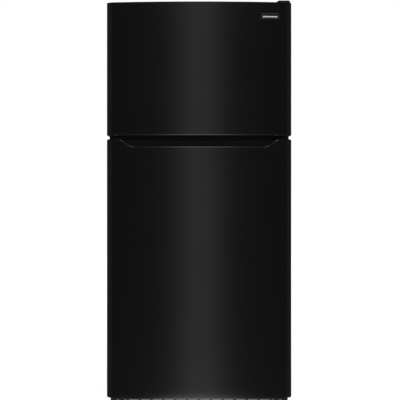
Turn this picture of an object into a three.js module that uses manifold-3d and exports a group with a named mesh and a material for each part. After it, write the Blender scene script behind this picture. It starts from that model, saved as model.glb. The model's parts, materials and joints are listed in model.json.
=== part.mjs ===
// Top freezer refrigerator: a free-standing steel cabinet with two foam-filled doors.
// Millimetres. +X is the hinge side, +Y the back, +Z up. The origin lies on the floor,
// in the middle of the rectangle that the refrigerator covers.
import * as THREE from "three";
import { mergeVertices } from "three/addons/utils/BufferGeometryUtils.js";
import Module from "manifold-3d";

const wasm = await Module();
wasm.setup();

// Cabinet
const WIDTH = 762;
const FRONT = -386;
const CABINET_FRONT = -281;
const CABINET_BACK = 376;
const CABINET_BOTTOM = 24;
const CABINET_TOP = 1660;
const SHEET = 1.2;
const FLANGE = 50;
const GAP = 0.3;
const HALF = WIDTH / 2;
const INSIDE = HALF - SHEET - GAP;

// Storage spaces, measured on the inner face of the liners
const CAVITY_HALF = 328;
const CAVITY_BACK = 328;
const LINER = 2;
const FREEZER_FLOOR = 1150;
const FREEZER_CEILING = 1600;
const FRESH_FLOOR = 110;
const FRESH_CEILING = 1080;

// Doors
const DOOR_HALF = 381;
const DOOR_CROWN = 16;
const DOOR_EDGE = { width: 40, depth: 19 };
const DOOR_BACK = -297;
const LINER_FACE = -294.7;
const FRESH_DOOR = [43, 1108];
const FREEZER_DOOR = [1120, 1670];
const CAP_INSET = SHEET + GAP;
const PIN = { x: 355, y: -325, radius: 4.5, bore: 5.2 };

// Raised rim of a door liner
const RIM_OUTER = 316;
const RIM_INNER = 284;
const RIM_BACK = -250;

// Pocket handle in the top edge of the fresh food door
const LIP_Z = 1078;
const LIP_HALF = 268;
const SCOOP_HALF = 330;
const LIP_DEPTH = 11;
const POCKET_FLOOR = 1045;
const POCKET_BACK = -333;

// Shelves and drawers
const FREEZER_SHELF_Z = 1370;
const UPPER_SHELF_Z = 815;
const LOWER_SHELF_Z = 560;
const CRISPER_COVER_Z = 300;
const SHELF_FRONT = -190;
const BIN_FRONT = -205;
const TRAY_WALL = 2.5;

// Feet, rollers and fans
const LEG = { x: 330, y: -258 };
const ROLLER = { x: 330, y: 330, z: 20, radius: 20 };
const EVAPORATOR_FAN = { x: 0, z: 1480, radius: 56 };
const CONDENSER_FAN = { y: 290, z: 140, radius: 64 };

// Compressor
const COMPRESSOR = { x: 190, y: 290, low: 112, high: 146 };
const SHELL = [82, 68, 62];

function material(color, roughness, metalness, opacity = 1) {
  return new THREE.MeshStandardMaterial({
    color,
    roughness,
    metalness,
    opacity,
    transparent: opacity < 1,
  });
}

const blackPaint = material(0x141615, 0.28, 0.1);
const blackPlastic = material(0x121312, 0.42, 0);
const whitePlastic = material(0xe9ebe8, 0.4, 0);
const clearPlastic = material(0xdfe8ea, 0.12, 0, 0.35);
const shelfGlass = material(0xcfdedb, 0.05, 0, 0.35);
const zincSteel = material(0x9a9d9f, 0.45, 0.9);
const aluminium = material(0xb9bcbe, 0.4, 0.9);
const foam = material(0xd8c79a, 0.9, 0);
const gasketRubber = material(0x1b1c1c, 0.7, 0);
const darkMetal = material(0x1a1b1c, 0.5, 0.3);
const fibreBoard = material(0x6d6a62, 0.85, 0);
const badgeMetal = material(0x8e9193, 0.35, 0.9);

// A closed three.js geometry as a solid that can be joined and cut.
function solidOf(geometry) {
  const bare = geometry.index ? geometry.toNonIndexed() : geometry.clone();
  bare.deleteAttribute("normal");
  bare.deleteAttribute("uv");
  const merged = mergeVertices(bare, 1e-4);
  const kept = [];
  const index = merged.index.array;
  for (let i = 0; i < index.length; i += 3) {
    const [a, b, c] = [index[i], index[i + 1], index[i + 2]];
    if (a !== b && b !== c && a !== c) kept.push(a, b, c);
  }
  return new wasm.Manifold(
    new wasm.Mesh({
      numProp: 3,
      vertProperties: merged.attributes.position.array,
      triVerts: new Uint32Array(kept),
    }),
  );
}

function box(x0, x1, y0, y1, z0, z1) {
  const geometry = new THREE.BoxGeometry(x1 - x0, y1 - y0, z1 - z0);
  geometry.translate((x0 + x1) / 2, (y0 + y1) / 2, (z0 + z1) / 2);
  return solidOf(geometry);
}

// Points drawn in one plane and pushed along the third axis.
function extrude(points, depth, matrix) {
  const shape = new THREE.Shape(points.map(([u, v]) => new THREE.Vector2(u, v)));
  const geometry = new THREE.ExtrudeGeometry(shape, { depth, bevelEnabled: false });
  geometry.applyMatrix4(matrix);
  return solidOf(geometry);
}

function alongX(pointsYZ, x0, x1) {
  const turn = new THREE.Matrix4().set(0, 0, 1, x0, 1, 0, 0, 0, 0, 1, 0, 0, 0, 0, 0, 1);
  return extrude(pointsYZ, x1 - x0, turn);
}

function alongY(pointsXZ, y0, y1) {
  const turn = new THREE.Matrix4().set(1, 0, 0, 0, 0, 0, -1, y1, 0, 1, 0, 0, 0, 0, 0, 1);
  return extrude(pointsXZ, y1 - y0, turn);
}

function alongZ(pointsXY, z0, z1) {
  return extrude(pointsXY, z1 - z0, new THREE.Matrix4().makeTranslation(0, 0, z0));
}

// A round bar between two points on one axis.
function rod(axis, centre, radius, from, to, sides = 24) {
  const geometry = new THREE.CylinderGeometry(radius, radius, to - from, sides);
  if (axis === "x") geometry.rotateZ(-Math.PI / 2);
  if (axis === "z") geometry.rotateX(Math.PI / 2);
  const middle = (from + to) / 2;
  if (axis === "x") geometry.translate(middle, centre[0], centre[1]);
  if (axis === "y") geometry.translate(centre[0], middle, centre[1]);
  if (axis === "z") geometry.translate(centre[0], centre[1], middle);
  return solidOf(geometry);
}

function join(...solids) {
  return solids.flat().reduce((all, next) => all.add(next));
}

function cut(solid, ...tools) {
  return solid.subtract(join(...tools));
}

// A tray, bin or housing: a box with walls on every side but the open one.
function openBox([x0, x1, y0, y1, z0, z1], wall) {
  const inner = box(x0 + wall, x1 - wall, y0 + wall, y1 - wall, z0 + wall, z1 + 5);
  return cut(box(x0, x1, y0, y1, z0, z1), inner);
}

const root = new THREE.Group();
root.name = "top_freezer_refrigerator";

function group(name, parent, x = 0, y = 0, z = 0) {
  const made = new THREE.Group();
  made.name = name;
  made.userData.at = new THREE.Vector3(x, y, z);
  made.position.copy(made.userData.at);
  if (parent.userData.at) made.position.sub(parent.userData.at);
  parent.add(made);
  return made;
}

// One sub-part: the solid, drawn in the cabinet's frame, becomes a mesh of its group.
function part(parent, name, solid, surface) {
  const { vertProperties, triVerts } = solid.getMesh();
  const geometry = new THREE.BufferGeometry();
  geometry.setAttribute("position", new THREE.BufferAttribute(vertProperties, 3));
  geometry.setIndex(new THREE.BufferAttribute(triVerts, 1));
  const at = parent.userData.at;
  geometry.translate(-at.x, -at.y, -at.z);
  geometry.computeVertexNormals();
  const mesh = new THREE.Mesh(geometry, surface);
  mesh.name = name;
  parent.add(mesh);
}

const cabinet = group("cabinet", root);
const freezerDoor = group("freezer_door", cabinet, PIN.x, PIN.y, FREEZER_DOOR[0]);
const freshDoor = group("fresh_door", cabinet, PIN.x, PIN.y, FRESH_DOOR[0]);

// Cabinet wrapper: one steel sheet folded over the sides and top, with a front flange.
const wrapper = cut(
  box(-HALF, HALF, CABINET_FRONT, CABINET_BACK, CABINET_BOTTOM, CABINET_TOP),
  box(
    -HALF + SHEET,
    HALF - SHEET,
    CABINET_FRONT + SHEET,
    CABINET_BACK + 5,
    CABINET_BOTTOM - 5,
    CABINET_TOP - SHEET,
  ),
  box(
    -HALF + FLANGE,
    HALF - FLANGE,
    CABINET_FRONT - 5,
    CABINET_FRONT + 5,
    CABINET_BOTTOM - 5,
    FREEZER_CEILING + 3,
  ),
);
part(cabinet, "cabinet_wrapper", wrapper, blackPaint);

const backPanel = box(-INSIDE, INSIDE, CABINET_BACK - 1.4, CABINET_BACK - 0.2, 250, 1658.4);
part(cabinet, "back_panel", backPanel, zincSteel);

// The steel sheet under the foam, folded up and back over the machine compartment.
const deckLine = [
  [-277, 60],
  [190, 60],
  [212, 238],
  [373.8, 246],
  [373.8, 247.2],
  [210.9, 239.2],
  [188.9, 61.2],
  [-277, 61.2],
];
part(cabinet, "machine_compartment_panel", alongX(deckLine, -INSIDE, INSIDE), zincSteel);

// Section of the fresh food space; the step at the back clears the machine compartment.
function freshSection(grow, front) {
  return [
    [front, FRESH_FLOOR - grow],
    [138 + grow, FRESH_FLOOR - grow],
    [158 + grow, 288 - grow],
    [CAVITY_BACK + grow, 292 - grow],
    [CAVITY_BACK + grow, FRESH_CEILING + grow],
    [front, FRESH_CEILING + grow],
  ];
}

function freshSpace(grow, front) {
  return alongX(freshSection(grow, front), -CAVITY_HALF - grow, CAVITY_HALF + grow);
}

function freezerSpace(grow, front) {
  return box(
    -CAVITY_HALF - grow,
    CAVITY_HALF + grow,
    front,
    CAVITY_BACK + grow,
    FREEZER_FLOOR - grow,
    FREEZER_CEILING + grow,
  );
}

// Ribs moulded on the side walls of a liner, which the shelves rest on.
function ledges(shelfZ, back) {
  return [-1, 1].map((side) => {
    const inner = side * (CAVITY_HALF - 8);
    const outer = side * (CAVITY_HALF + 1);
    const [x0, x1] = [Math.min(inner, outer), Math.max(inner, outer)];
    return box(x0, x1, -180, back, shelfZ - 8, shelfZ - GAP);
  });
}

const freezerLiner = join(
  cut(freezerSpace(LINER, CABINET_FRONT), freezerSpace(0, CABINET_FRONT - 5)),
  ledges(FREEZER_SHELF_Z, 240),
);
part(cabinet, "freezer_liner", freezerLiner, whitePlastic);

// The boss on the ceiling guides the plunger of the light switch.
const SWITCH = { x: -240, z: 1064 };
const freshLiner = cut(
  join(
    cut(freshSpace(LINER, CABINET_FRONT), freshSpace(0, CABINET_FRONT - 5)),
    ledges(UPPER_SHELF_Z, 300),
    ledges(LOWER_SHELF_Z, 300),
    ledges(CRISPER_COVER_Z, 150),
    box(SWITCH.x - 11, SWITCH.x + 11, -240, -214, 1052, FRESH_CEILING + 1),
  ),
  rod("y", [SWITCH.x, SWITCH.z], 4.6, -245, -200),
);
part(cabinet, "fresh_food_liner", freshLiner, whitePlastic);

// Foam fills everything between the wrapper, the back panel and the liners.
const foamSection = [
  [CABINET_FRONT + 1.5, 61.6],
  [188.5, 61.6],
  [210.4, 239.6],
  [374.2, 247.7],
  [374.2, 1658.4],
  [CABINET_FRONT + 1.5, 1658.4],
];
const cabinetFoam = cut(
  alongX(foamSection, -INSIDE, INSIDE),
  freezerSpace(LINER + GAP, CABINET_FRONT - 5),
  freshSpace(LINER + GAP, CABINET_FRONT - 5),
);
part(cabinet, "foam_insulation", cabinetFoam, foam);

// Steel rail that closes the foam between the two storage spaces.
const rail = box(-HALF + FLANGE + GAP, HALF - FLANGE - GAP, -281, -279.8, 1082.6, 1147.4);
part(cabinet, "centre_rail", rail, blackPaint);

// Base frame: front sill, side rails, leg plate, rear deck and the roller forks.
function rollerFork(side) {
  const plates = [316, 341].map((x) => {
    const [x0, x1] = side > 0 ? [x, x + 3] : [-x - 3, -x];
    return box(x0, x1, ROLLER.y - 14, ROLLER.y + 14, 9, 40);
  });
  const ends = side > 0 ? [317, 343] : [-343, -317];
  return join(plates, rod("x", [ROLLER.y, ROLLER.z], 4, ends[0], ends[1]));
}

function sideRail(side) {
  const [x0, x1] = side > 0 ? [351, INSIDE - 0.5] : [0.5 - INSIDE, -351];
  const [w0, w1] = side > 0 ? [350, 352] : [-352, -350];
  return join(box(x0, x1, -270, 373, 40, 43), box(w0, w1, -260, 374, 26, 59.5));
}

const baseFrame = cut(
  join(
    box(-HALF + FLANGE + GAP, HALF - FLANGE - GAP, -281, -279.8, 28, 107.4),
    box(-INSIDE, INSIDE, -279.4, -235, 40, 43),
    box(-330, 330, -280, -278, 40, 59),
    box(-351, 351, 205, 372, 30, 32),
    sideRail(-1),
    sideRail(1),
  ),
  box(-340.6, -319.4, 304, 356, 25, 36),
  box(319.4, 340.6, 304, 356, 25, 36),
  rod("z", [-LEG.x, LEG.y], 6.6, 38, 45),
  rod("z", [LEG.x, LEG.y], 6.6, 38, 45),
);
part(cabinet, "base_frame", join(baseFrame, rollerFork(-1), rollerFork(1)), zincSteel);

// Toe grille: a slotted strip under the doors, held by two clip arms.
const grilleSlots = [];
for (let i = 0; i < 14; i += 1) {
  const x = -325 + i * 50;
  grilleSlots.push(box(x - 20, x + 20, -315, -305, 13, 17));
  grilleSlots.push(box(x - 20, x + 20, -315, -305, 22, 26));
}
const grille = join(
  cut(box(-372, 372, -312, -309.5, 6, 33), grilleSlots),
  box(-372, 372, -311, -300, 31, 33),
  box(-312, -296, -310, -281.3, 29, 33),
  box(296, 312, -310, -281.3, 29, 33),
);
part(cabinet, "toe_grille", grille, blackPlastic);

// Hinges, each a folded steel bracket with its pins.
const topHinge = join(
  box(322, 372, -279, -205, 1660.3, 1663.5),
  box(335, 372, -280, -277, 1660.3, 1675),
  box(335, 372, -345, -277, 1671.6, 1675),
  rod("z", [PIN.x, PIN.y], PIN.radius, 1656, 1673),
);
part(cabinet, "top_hinge", topHinge, zincSteel);

function coverSection(inset) {
  return [
    [317 + inset, 1660.3 - inset],
    [317 + inset, 1674 - inset],
    [330 + inset, 1683 - inset],
    [371 - inset * 0.5, 1683 - inset],
    [377 - inset, 1678 - inset],
    [377 - inset, 1660.3 - inset],
  ];
}

const hingeCover = cut(
  alongY(coverSection(0), -352, -198),
  alongY(coverSection(1.8), -350.2, -199.8),
  box(310, 380, -360, -282.5, 1655, 1671.2),
);
part(cabinet, "top_hinge_cover", hingeCover, blackPlastic);

const centreHinge = join(
  box(322, 368, -345, -282, 1113, 1117),
  box(318, 368, -284.6, -281.3, 1106, 1124),
  rod("z", [PIN.x, PIN.y], PIN.radius, 1094, 1136),
);
part(cabinet, "centre_hinge", centreHinge, darkMetal);

const bottomHinge = join(
  box(325, 372, -345, -282, 36, 40),
  box(325, 372, -284.6, -281.3, 36, 80),
  rod("z", [PIN.x, PIN.y], PIN.radius, 39, 58),
);
part(cabinet, "bottom_hinge", bottomHinge, darkMetal);

// A block of thin plates on straight tubes, as in an evaporator or a condenser.
function finnedBlock([x0, x1, y0, y1, z0, z1], fins, thickness, rows, columns) {
  const solids = [];
  for (let i = 0; i < fins; i += 1) {
    const x = x0 + ((x1 - x0 - thickness) * i) / (fins - 1);
    solids.push(box(x, x + thickness, y0, y1, z0, z1));
  }
  for (let row = 0; row < rows; row += 1) {
    for (let column = 0; column < columns; column += 1) {
      const y = y0 + ((y1 - y0) * (column + 0.5)) / columns;
      const z = z0 + ((z1 - z0) * (row + 0.5)) / rows;
      solids.push(rod("x", [y, z], 4, x0 - 8, x1 + 8, 6));
    }
  }
  return join(solids);
}

// A fan rotor along Y or X, centred on the origin, with a bore for the motor shaft.
function rotor(radius, depth, blades) {
  const solids = [rod("y", [0, 0], 14, -depth / 2, depth / 2)];
  for (let i = 0; i < blades; i += 1) {
    const geometry = new THREE.BoxGeometry(radius - 11, 2, radius * 0.5);
    geometry.rotateX(THREE.MathUtils.degToRad(28));
    geometry.translate((radius + 11) / 2, 0, 0);
    geometry.rotateY((2 * Math.PI * i) / blades);
    solids.push(solidOf(geometry));
  }
  return cut(join(solids), rod("y", [0, 0], 3.4, -depth, depth));
}

// Cold side: cover, finned evaporator, fan and motor behind the freezer space.
const coverSlots = [];
for (let i = 0; i < 7; i += 1) {
  const z = EVAPORATOR_FAN.z - 42 + i * 14;
  coverSlots.push(box(-46, 46, 250, 270, z - 3, z + 3));
}
for (let i = 0; i < 12; i += 1) {
  const x = -275 + i * 50;
  coverSlots.push(box(x - 18, x + 18, 250, 270, 1166, 1174));
}
const evaporatorCover = cut(box(-327.4, 327.4, 258, 260.5, 1150.6, 1599.4), coverSlots);
part(cabinet, "evaporator_cover", evaporatorCover, whitePlastic);

const evaporator = finnedBlock([-230, 230, 280, 320, 1200, 1330], 12, 1.5, 3, 2);
part(cabinet, "evaporator_coil", evaporator, aluminium);

const evaporatorMotor = join(
  rod("y", [0, EVAPORATOR_FAN.z], 22, 292, 322),
  rod("y", [0, EVAPORATOR_FAN.z], 3, 267, 294),
  box(-90, 90, 300, 306, EVAPORATOR_FAN.z - 6, EVAPORATOR_FAN.z + 6),
  box(-90, -84, 300, 327.4, EVAPORATOR_FAN.z - 6, EVAPORATOR_FAN.z + 6),
  box(84, 90, 300, 327.4, EVAPORATOR_FAN.z - 6, EVAPORATOR_FAN.z + 6),
);
part(cabinet, "evaporator_fan_motor", evaporatorMotor, darkMetal);

const evaporatorFan = group("evaporator_fan_axis", cabinet, 0, 276, EVAPORATOR_FAN.z);
part(
  evaporatorFan,
  "evaporator_fan",
  rotor(EVAPORATOR_FAN.radius, 18, 5).translate([0, 276, EVAPORATOR_FAN.z]),
  whitePlastic,
);

// Freezer shelf: bars between a front and a back rail.
const shelfBars = [];
for (let i = 0; i < 21; i += 1) {
  const x = -320 + i * 32;
  shelfBars.push(box(x - 2, x + 2, SHELF_FRONT + 4, 246, FREEZER_SHELF_Z, FREEZER_SHELF_Z + 5));
}
const freezerShelf = join(
  shelfBars,
  box(-327.4, 327.4, SHELF_FRONT, SHELF_FRONT + 8, FREEZER_SHELF_Z, FREEZER_SHELF_Z + 12),
  box(-327.4, 327.4, 20, 26, FREEZER_SHELF_Z, FREEZER_SHELF_Z + 5),
  box(-327.4, 327.4, 240, 248, FREEZER_SHELF_Z, FREEZER_SHELF_Z + 12),
);
part(cabinet, "freezer_shelf", freezerShelf, whitePlastic);

// Glass shelves of the fresh food space, with a thick front and back edge.
function glassShelf(z, back) {
  return join(
    box(-327.4, 327.4, SHELF_FRONT + 2, back - 2, z + 2, z + 7),
    box(-327.4, 327.4, SHELF_FRONT, SHELF_FRONT + 12, z, z + 12),
    box(-327.4, 327.4, back - 12, back, z, z + 12),
  );
}
part(cabinet, "upper_shelf", glassShelf(UPPER_SHELF_Z, 318), shelfGlass);
part(cabinet, "lower_shelf", glassShelf(LOWER_SHELF_Z, 318), shelfGlass);

// Crisper cover: glass over the drawers, with a front rail slotted for the humidity slides.
const HUMIDITY_X = 164;
const crisperCover = cut(
  join(
    box(-327.4, 327.4, SHELF_FRONT + 2, 322, CRISPER_COVER_Z, CRISPER_COVER_Z + 4),
    box(-327.4, 327.4, SHELF_FRONT, SHELF_FRONT + 8, CRISPER_COVER_Z - 7, CRISPER_COVER_Z + 12),
  ),
  box(-HUMIDITY_X - 30, -HUMIDITY_X + 30, -195, -175, 305.4, 309.6),
  box(HUMIDITY_X - 30, HUMIDITY_X + 30, -195, -175, 305.4, 309.6),
);
part(cabinet, "crisper_cover", crisperCover, clearPlastic);

for (const [name, x] of [
  ["left_humidity_slide", -HUMIDITY_X],
  ["right_humidity_slide", HUMIDITY_X],
]) {
  const knob = join(
    box(x - 12, x + 12, -193.6, -190.3, 303, 312),
    box(x - 9, x + 9, -191, -180, 306, 309),
  );
  part(group(name + "_guide", cabinet, x, -190.3, 307.5), name, knob, whitePlastic);
}

// Crisper drawers: open trays with a rolled front lip that serves as the handle.
for (const [name, x0, x1] of [
  ["left_crisper", -322, -3],
  ["right_crisper", 3, 322],
]) {
  const drawer = join(
    openBox([x0, x1, -140, 130, 111, 290], TRAY_WALL),
    box(x0 + 30, x1 - 30, -148, -138, 268, 271),
    box(x0 + 30, x1 - 30, -148, -145.5, 256, 271),
  );
  part(group(name + "_slide", cabinet, (x0 + x1) / 2, -140, 111), name, drawer, clearPlastic);
}

// Control housing on the ceiling of the fresh food space, with the light behind a lens.
const KNOB = { x: -100, z: 1054 };
const LAMP = { y: 60, z: 1056 };
const controlHousing = cut(
  join(
    cut(
      box(-150, 150, -60, 120, 1030, FRESH_CEILING - 0.4),
      box(-147.5, 147.5, -57.5, 117.5, 1032.5, FRESH_CEILING + 5),
    ),
    box(58, 76, LAMP.y - 15, LAMP.y + 15, 1032, 1074),
  ),
  box(-50, 50, 20, 100, 1025, 1035),
  rod("y", [KNOB.x, KNOB.z], 3.6, -65, -50),
  rod("x", [LAMP.y, LAMP.z], 9.5, 55, 71),
);
part(cabinet, "control_housing", controlHousing, whitePlastic);

const bulbGeometry = new THREE.SphereGeometry(15, 20, 12);
bulbGeometry.scale(1.3, 1, 1);
bulbGeometry.translate(22, LAMP.y, LAMP.z);
const bulb = join(solidOf(bulbGeometry), rod("x", [LAMP.y, LAMP.z], 9, 30, 69));
part(cabinet, "light_bulb", bulb, whitePlastic);

const lens = join(box(-49.6, 49.6, 20.4, 99.6, 1027, 1029.5), box(-44, 44, 26, 94, 1029, 1032));
part(cabinet, "light_lens", lens, clearPlastic);

const knobAxis = group("temperature_knob_axis", cabinet, KNOB.x, -60, KNOB.z);
const temperatureKnob = join(
  rod("y", [KNOB.x, KNOB.z], 16, -69, -60.4, 32),
  box(KNOB.x - 3, KNOB.x + 3, -77, -68, KNOB.z - 14, KNOB.z + 14),
  rod("y", [KNOB.x, KNOB.z], 3.2, -61, -50),
);
part(knobAxis, "temperature_knob", temperatureKnob, whitePlastic);

const switchGuide = group("light_switch_guide", cabinet, SWITCH.x, -240, SWITCH.z);
const plunger = rod("y", [SWITCH.x, SWITCH.z], 4.2, -247, -204);
part(switchGuide, "light_switch_button", plunger, whitePlastic);

// Warm side: compressor, condenser with its fan, and the pan that catches the defrost water.
const domes = [COMPRESSOR.low, COMPRESSOR.high].map((z) => {
  const dome = new THREE.SphereGeometry(1, 28, 16);
  dome.scale(...SHELL);
  dome.translate(COMPRESSOR.x, COMPRESSOR.y, z);
  return solidOf(dome);
});
const compressorFeet = [-1, 1].flatMap((sx) =>
  [-1, 1].map((sy) => rod("z", [COMPRESSOR.x + sx * 72, COMPRESSOR.y + sy * 48], 9, 32.4, 46, 16)),
);
const compressorBand = rod("z", [0, 0], 1, COMPRESSOR.low, COMPRESSOR.high, 28)
  .scale([SHELL[0] + 1, SHELL[1] + 1, 1])
  .translate([COMPRESSOR.x, COMPRESSOR.y, 0]);
const compressor = join(
  domes,
  compressorBand,
  box(104, 276, 228, 352, 44, 47),
  box(150, 230, 255, 325, 46, 62),
  box(262, 284, 272, 308, 106, 152),
  compressorFeet,
);
part(cabinet, "compressor", compressor, darkMetal);

const condenser = join(
  finnedBlock([-296, -114, 236, 344, 62, 204], 9, 1.5, 3, 3),
  box(-300, -297, 236, 344, 32.4, 204),
  box(-113, -110, 236, 344, 32.4, 204),
  box(-300, -110, 286, 294, 200, 206),
);
part(cabinet, "condenser_coil", condenser, darkMetal);

const pan = openBox([-292, -118, 226, 364, 32.4, 54], 2);
part(cabinet, "drain_pan", pan, blackPlastic);

const shroud = cut(
  box(-67, -64, 216, 364, 32.4, 222),
  rod("x", [CONDENSER_FAN.y, CONDENSER_FAN.z], 69, -75, -55, 32),
);
const condenserMotor = join(
  shroud,
  box(-66, -12, 278, 302, 32.4, 38),
  box(-34, -14, 278, 302, 34, 120),
  rod("x", [CONDENSER_FAN.y, CONDENSER_FAN.z], 24, -42, 4),
  rod("x", [CONDENSER_FAN.y, CONDENSER_FAN.z], 3, -76, -40),
);
part(cabinet, "condenser_fan_motor", condenserMotor, darkMetal);

const condenserFan = group("condenser_fan_axis", cabinet, -65, CONDENSER_FAN.y, CONDENSER_FAN.z);
part(
  condenserFan,
  "condenser_fan",
  rotor(CONDENSER_FAN.radius, 20, 5)
    .rotate([0, 0, 90])
    .translate([-65, CONDENSER_FAN.y, CONDENSER_FAN.z]),
  blackPlastic,
);

// Rear cover of the machine compartment: slotted board with two wall spacers.
const rearSlots = [];
for (let i = 0; i < 12; i += 1) {
  const x = -330 + i * 60;
  for (const z of [80, 200]) {
    if (i !== 1 && i !== 10) rearSlots.push(box(x - 22, x + 22, 370, 380, z - 4, z + 4));
  }
}
const rearCover = join(
  cut(box(-INSIDE, INSIDE, 374.6, 376.6, 34, 249.5), rearSlots),
  box(-290, -250, 376, 386, 180, 230),
  box(250, 290, 376, 386, 180, 230),
);
part(cabinet, "rear_cover", rearCover, fibreBoard);

const inlet = cut(
  box(200, 232, 376.9, 385, 105, 130),
  box(204, 228, 380, 390, 109, 126),
);
part(cabinet, "power_inlet", join(inlet, box(214, 218, 379, 384, 115, 120)), blackPlastic);

// Rear rollers on their axles, and front levelling legs screwed through the leg plate.
for (const [name, x] of [
  ["left_rear_roller", -ROLLER.x],
  ["right_rear_roller", ROLLER.x],
]) {
  const wheel = cut(
    rod("x", [ROLLER.y, ROLLER.z], ROLLER.radius, x - 9, x + 9, 32),
    rod("x", [ROLLER.y, ROLLER.z], 4.4, x - 12, x + 12),
  );
  part(group(name + "_axle", cabinet, x, ROLLER.y, ROLLER.z), name, wheel, blackPlastic);
}

for (const [name, x] of [
  ["left_leveling_leg", -LEG.x],
  ["right_leveling_leg", LEG.x],
]) {
  const leg = join(
    rod("z", [x, LEG.y], 18, 0, 8, 32),
    rod("z", [x, LEG.y], 6, 7, 57),
    rod("z", [x, LEG.y], 12, 30, 39.7, 6),
  );
  part(group(name + "_thread", cabinet, x, LEG.y, 0), name, leg, blackPlastic);
}

// The door face is crowned: furthest forward in the middle of its width.
function crownAt(x) {
  return FRONT + DOOR_CROWN * (x / DOOR_HALF) ** 2;
}

// Outline of a door in plan, moved in from the steel face by an inset. The vertical edges are soft.
function doorOutline(inset, back) {
  const edge = DOOR_HALF - inset;
  const width = DOOR_EDGE.width - inset * 0.8;
  const depth = DOOR_EDGE.depth - inset * 0.8;
  const flat = edge - width;
  const centreY = crownAt(flat) + inset + depth;
  const points = [];
  for (let i = 0; i <= 24; i += 1) {
    const x = -flat + (2 * flat * i) / 24;
    points.push([x, crownAt(x) + inset]);
  }
  const corner = [1, 2, 3, 4, 5].map((i) => {
    const angle = -Math.PI / 2 + (i * Math.PI) / 10;
    return [flat + width * Math.cos(angle), centreY + depth * Math.sin(angle)];
  });
  points.push(...corner, [edge, back], [-edge, back]);
  points.push(...corner.reverse().map(([x, y]) => [-x, y]));
  return points;
}

function doorBlock(inset, back, z0, z1) {
  return alongZ(doorOutline(inset, back), z0, z1);
}

function doorSkin([z0, z1]) {
  return cut(doorBlock(0, DOOR_BACK, z0, z1), doorBlock(SHEET, DOOR_BACK + 9, z0 - 5, z1 + 5));
}

// The raised rim on the inner side of a door, as a solid ring.
function rim(inset, y0, [z0, z1]) {
  const outer = box(
    -RIM_OUTER + inset,
    RIM_OUTER - inset,
    y0,
    RIM_BACK - inset,
    z0 + inset,
    z1 - inset,
  );
  return cut(
    outer,
    box(
      -RIM_INNER - inset,
      RIM_INNER + inset,
      y0 - 5,
      RIM_BACK + 5,
      z0 + 32 - inset,
      z1 - 32 + inset,
    ),
  );
}

// Small ledges on the rim that carry a bin or a rack.
function lugs(z) {
  return [-1, 1].map((side) => {
    const [x0, x1] = side > 0 ? [276, 285] : [-285, -276];
    return box(x0, x1, -276, -260, z - 8, z - GAP);
  });
}

function doorLiner([z0, z1], rimZ, extras) {
  const plate = box(-376, 376, DOOR_BACK + GAP, LINER_FACE, z0 + 3, z1 - 3);
  const raised = join(plate, rim(0, DOOR_BACK + GAP, rimZ), extras);
  return cut(raised, rim(LINER, DOOR_BACK - 5, rimZ));
}

function doorFoam(z0, z1, rimZ) {
  const rootOfRim = rim(LINER + GAP, DOOR_BACK - 5, rimZ).intersect(box(-400, 400, -400, 0, z0, z1));
  return join(
    doorBlock(CAP_INSET, DOOR_BACK, z0, z1),
    rootOfRim,
    rim(LINER + GAP, DOOR_BACK + GAP, rimZ),
  );
}

// Magnetic gasket: a solid square frame pressed against the cabinet flange.
function gasket(z0, z1) {
  const outer = box(-353, 353, LINER_FACE + GAP, CABINET_FRONT - GAP, z0, z1);
  return cut(outer, box(-333, 333, -300, -270, z0 + 20, z1 - 20));
}

// A tray that hooks on the rim; its front wall is twice as thick as the others.
function doorBin(z0, z1) {
  return join(
    openBox([-283, 283, -294, BIN_FRONT, z0, z1], TRAY_WALL),
    box(-283, 283, BIN_FRONT - 5, BIN_FRONT, z0, z1),
  );
}

const pinBore = (z0, z1) => rod("z", [PIN.x, PIN.y], PIN.bore, z0, z1);

// Freezer door. Its bottom edge is lifted over most of the width, with a finger recess behind.
const FREEZER_RIM = [1158, 1592];
const freezerSkin = cut(doorSkin(FREEZER_DOOR), box(-339, 319, -395, -355, 1116, 1122.1));
part(freezerDoor, "freezer_door_skin", freezerSkin, blackPaint);
part(freezerDoor, "freezer_door_foam", doorFoam(1150.3, 1652.7, FREEZER_RIM), foam);
part(
  freezerDoor,
  "freezer_door_liner",
  doorLiner(FREEZER_DOOR, FREEZER_RIM, [lugs(1200), lugs(1390)].flat()),
  whitePlastic,
);
part(freezerDoor, "freezer_door_gasket", gasket(1126, 1626), gasketRubber);
part(
  freezerDoor,
  "freezer_door_top_cap",
  cut(doorBlock(CAP_INSET, DOOR_BACK, 1653, 1669.4), pinBore(1654.5, 1675)),
  blackPlastic,
);
const fingerRecess = doorBlock(LIP_DEPTH, POCKET_BACK, 1115, 1144).intersect(
  box(-300, 300, -400, -300, 1110, 1150),
);
const freezerBottomCap = cut(
  doorBlock(CAP_INSET, DOOR_BACK, 1120.6, 1150),
  fingerRecess,
  box(-338, 318, -395, -373, 1116, 1122.6),
  pinBore(1115, 1138),
);
part(freezerDoor, "freezer_door_bottom_cap", freezerBottomCap, blackPlastic);
part(freezerDoor, "freezer_door_lower_rack", doorBin(1200, 1270), whitePlastic);
part(freezerDoor, "freezer_door_upper_rack", doorBin(1390, 1460), whitePlastic);

// Badge: a thin plain plate that follows the crown of the door.
const badgeLine = [0, 1, 2, 3, 4].map((i) => 251 + (82 * i) / 4);
const badgeOutline = [
  ...badgeLine.map((x) => [x, crownAt(x) - 2]),
  ...badgeLine.reverse().map((x) => [x, crownAt(x) - GAP]),
];
part(freezerDoor, "door_badge", alongZ(badgeOutline, 1600, 1626), badgeMetal);

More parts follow.
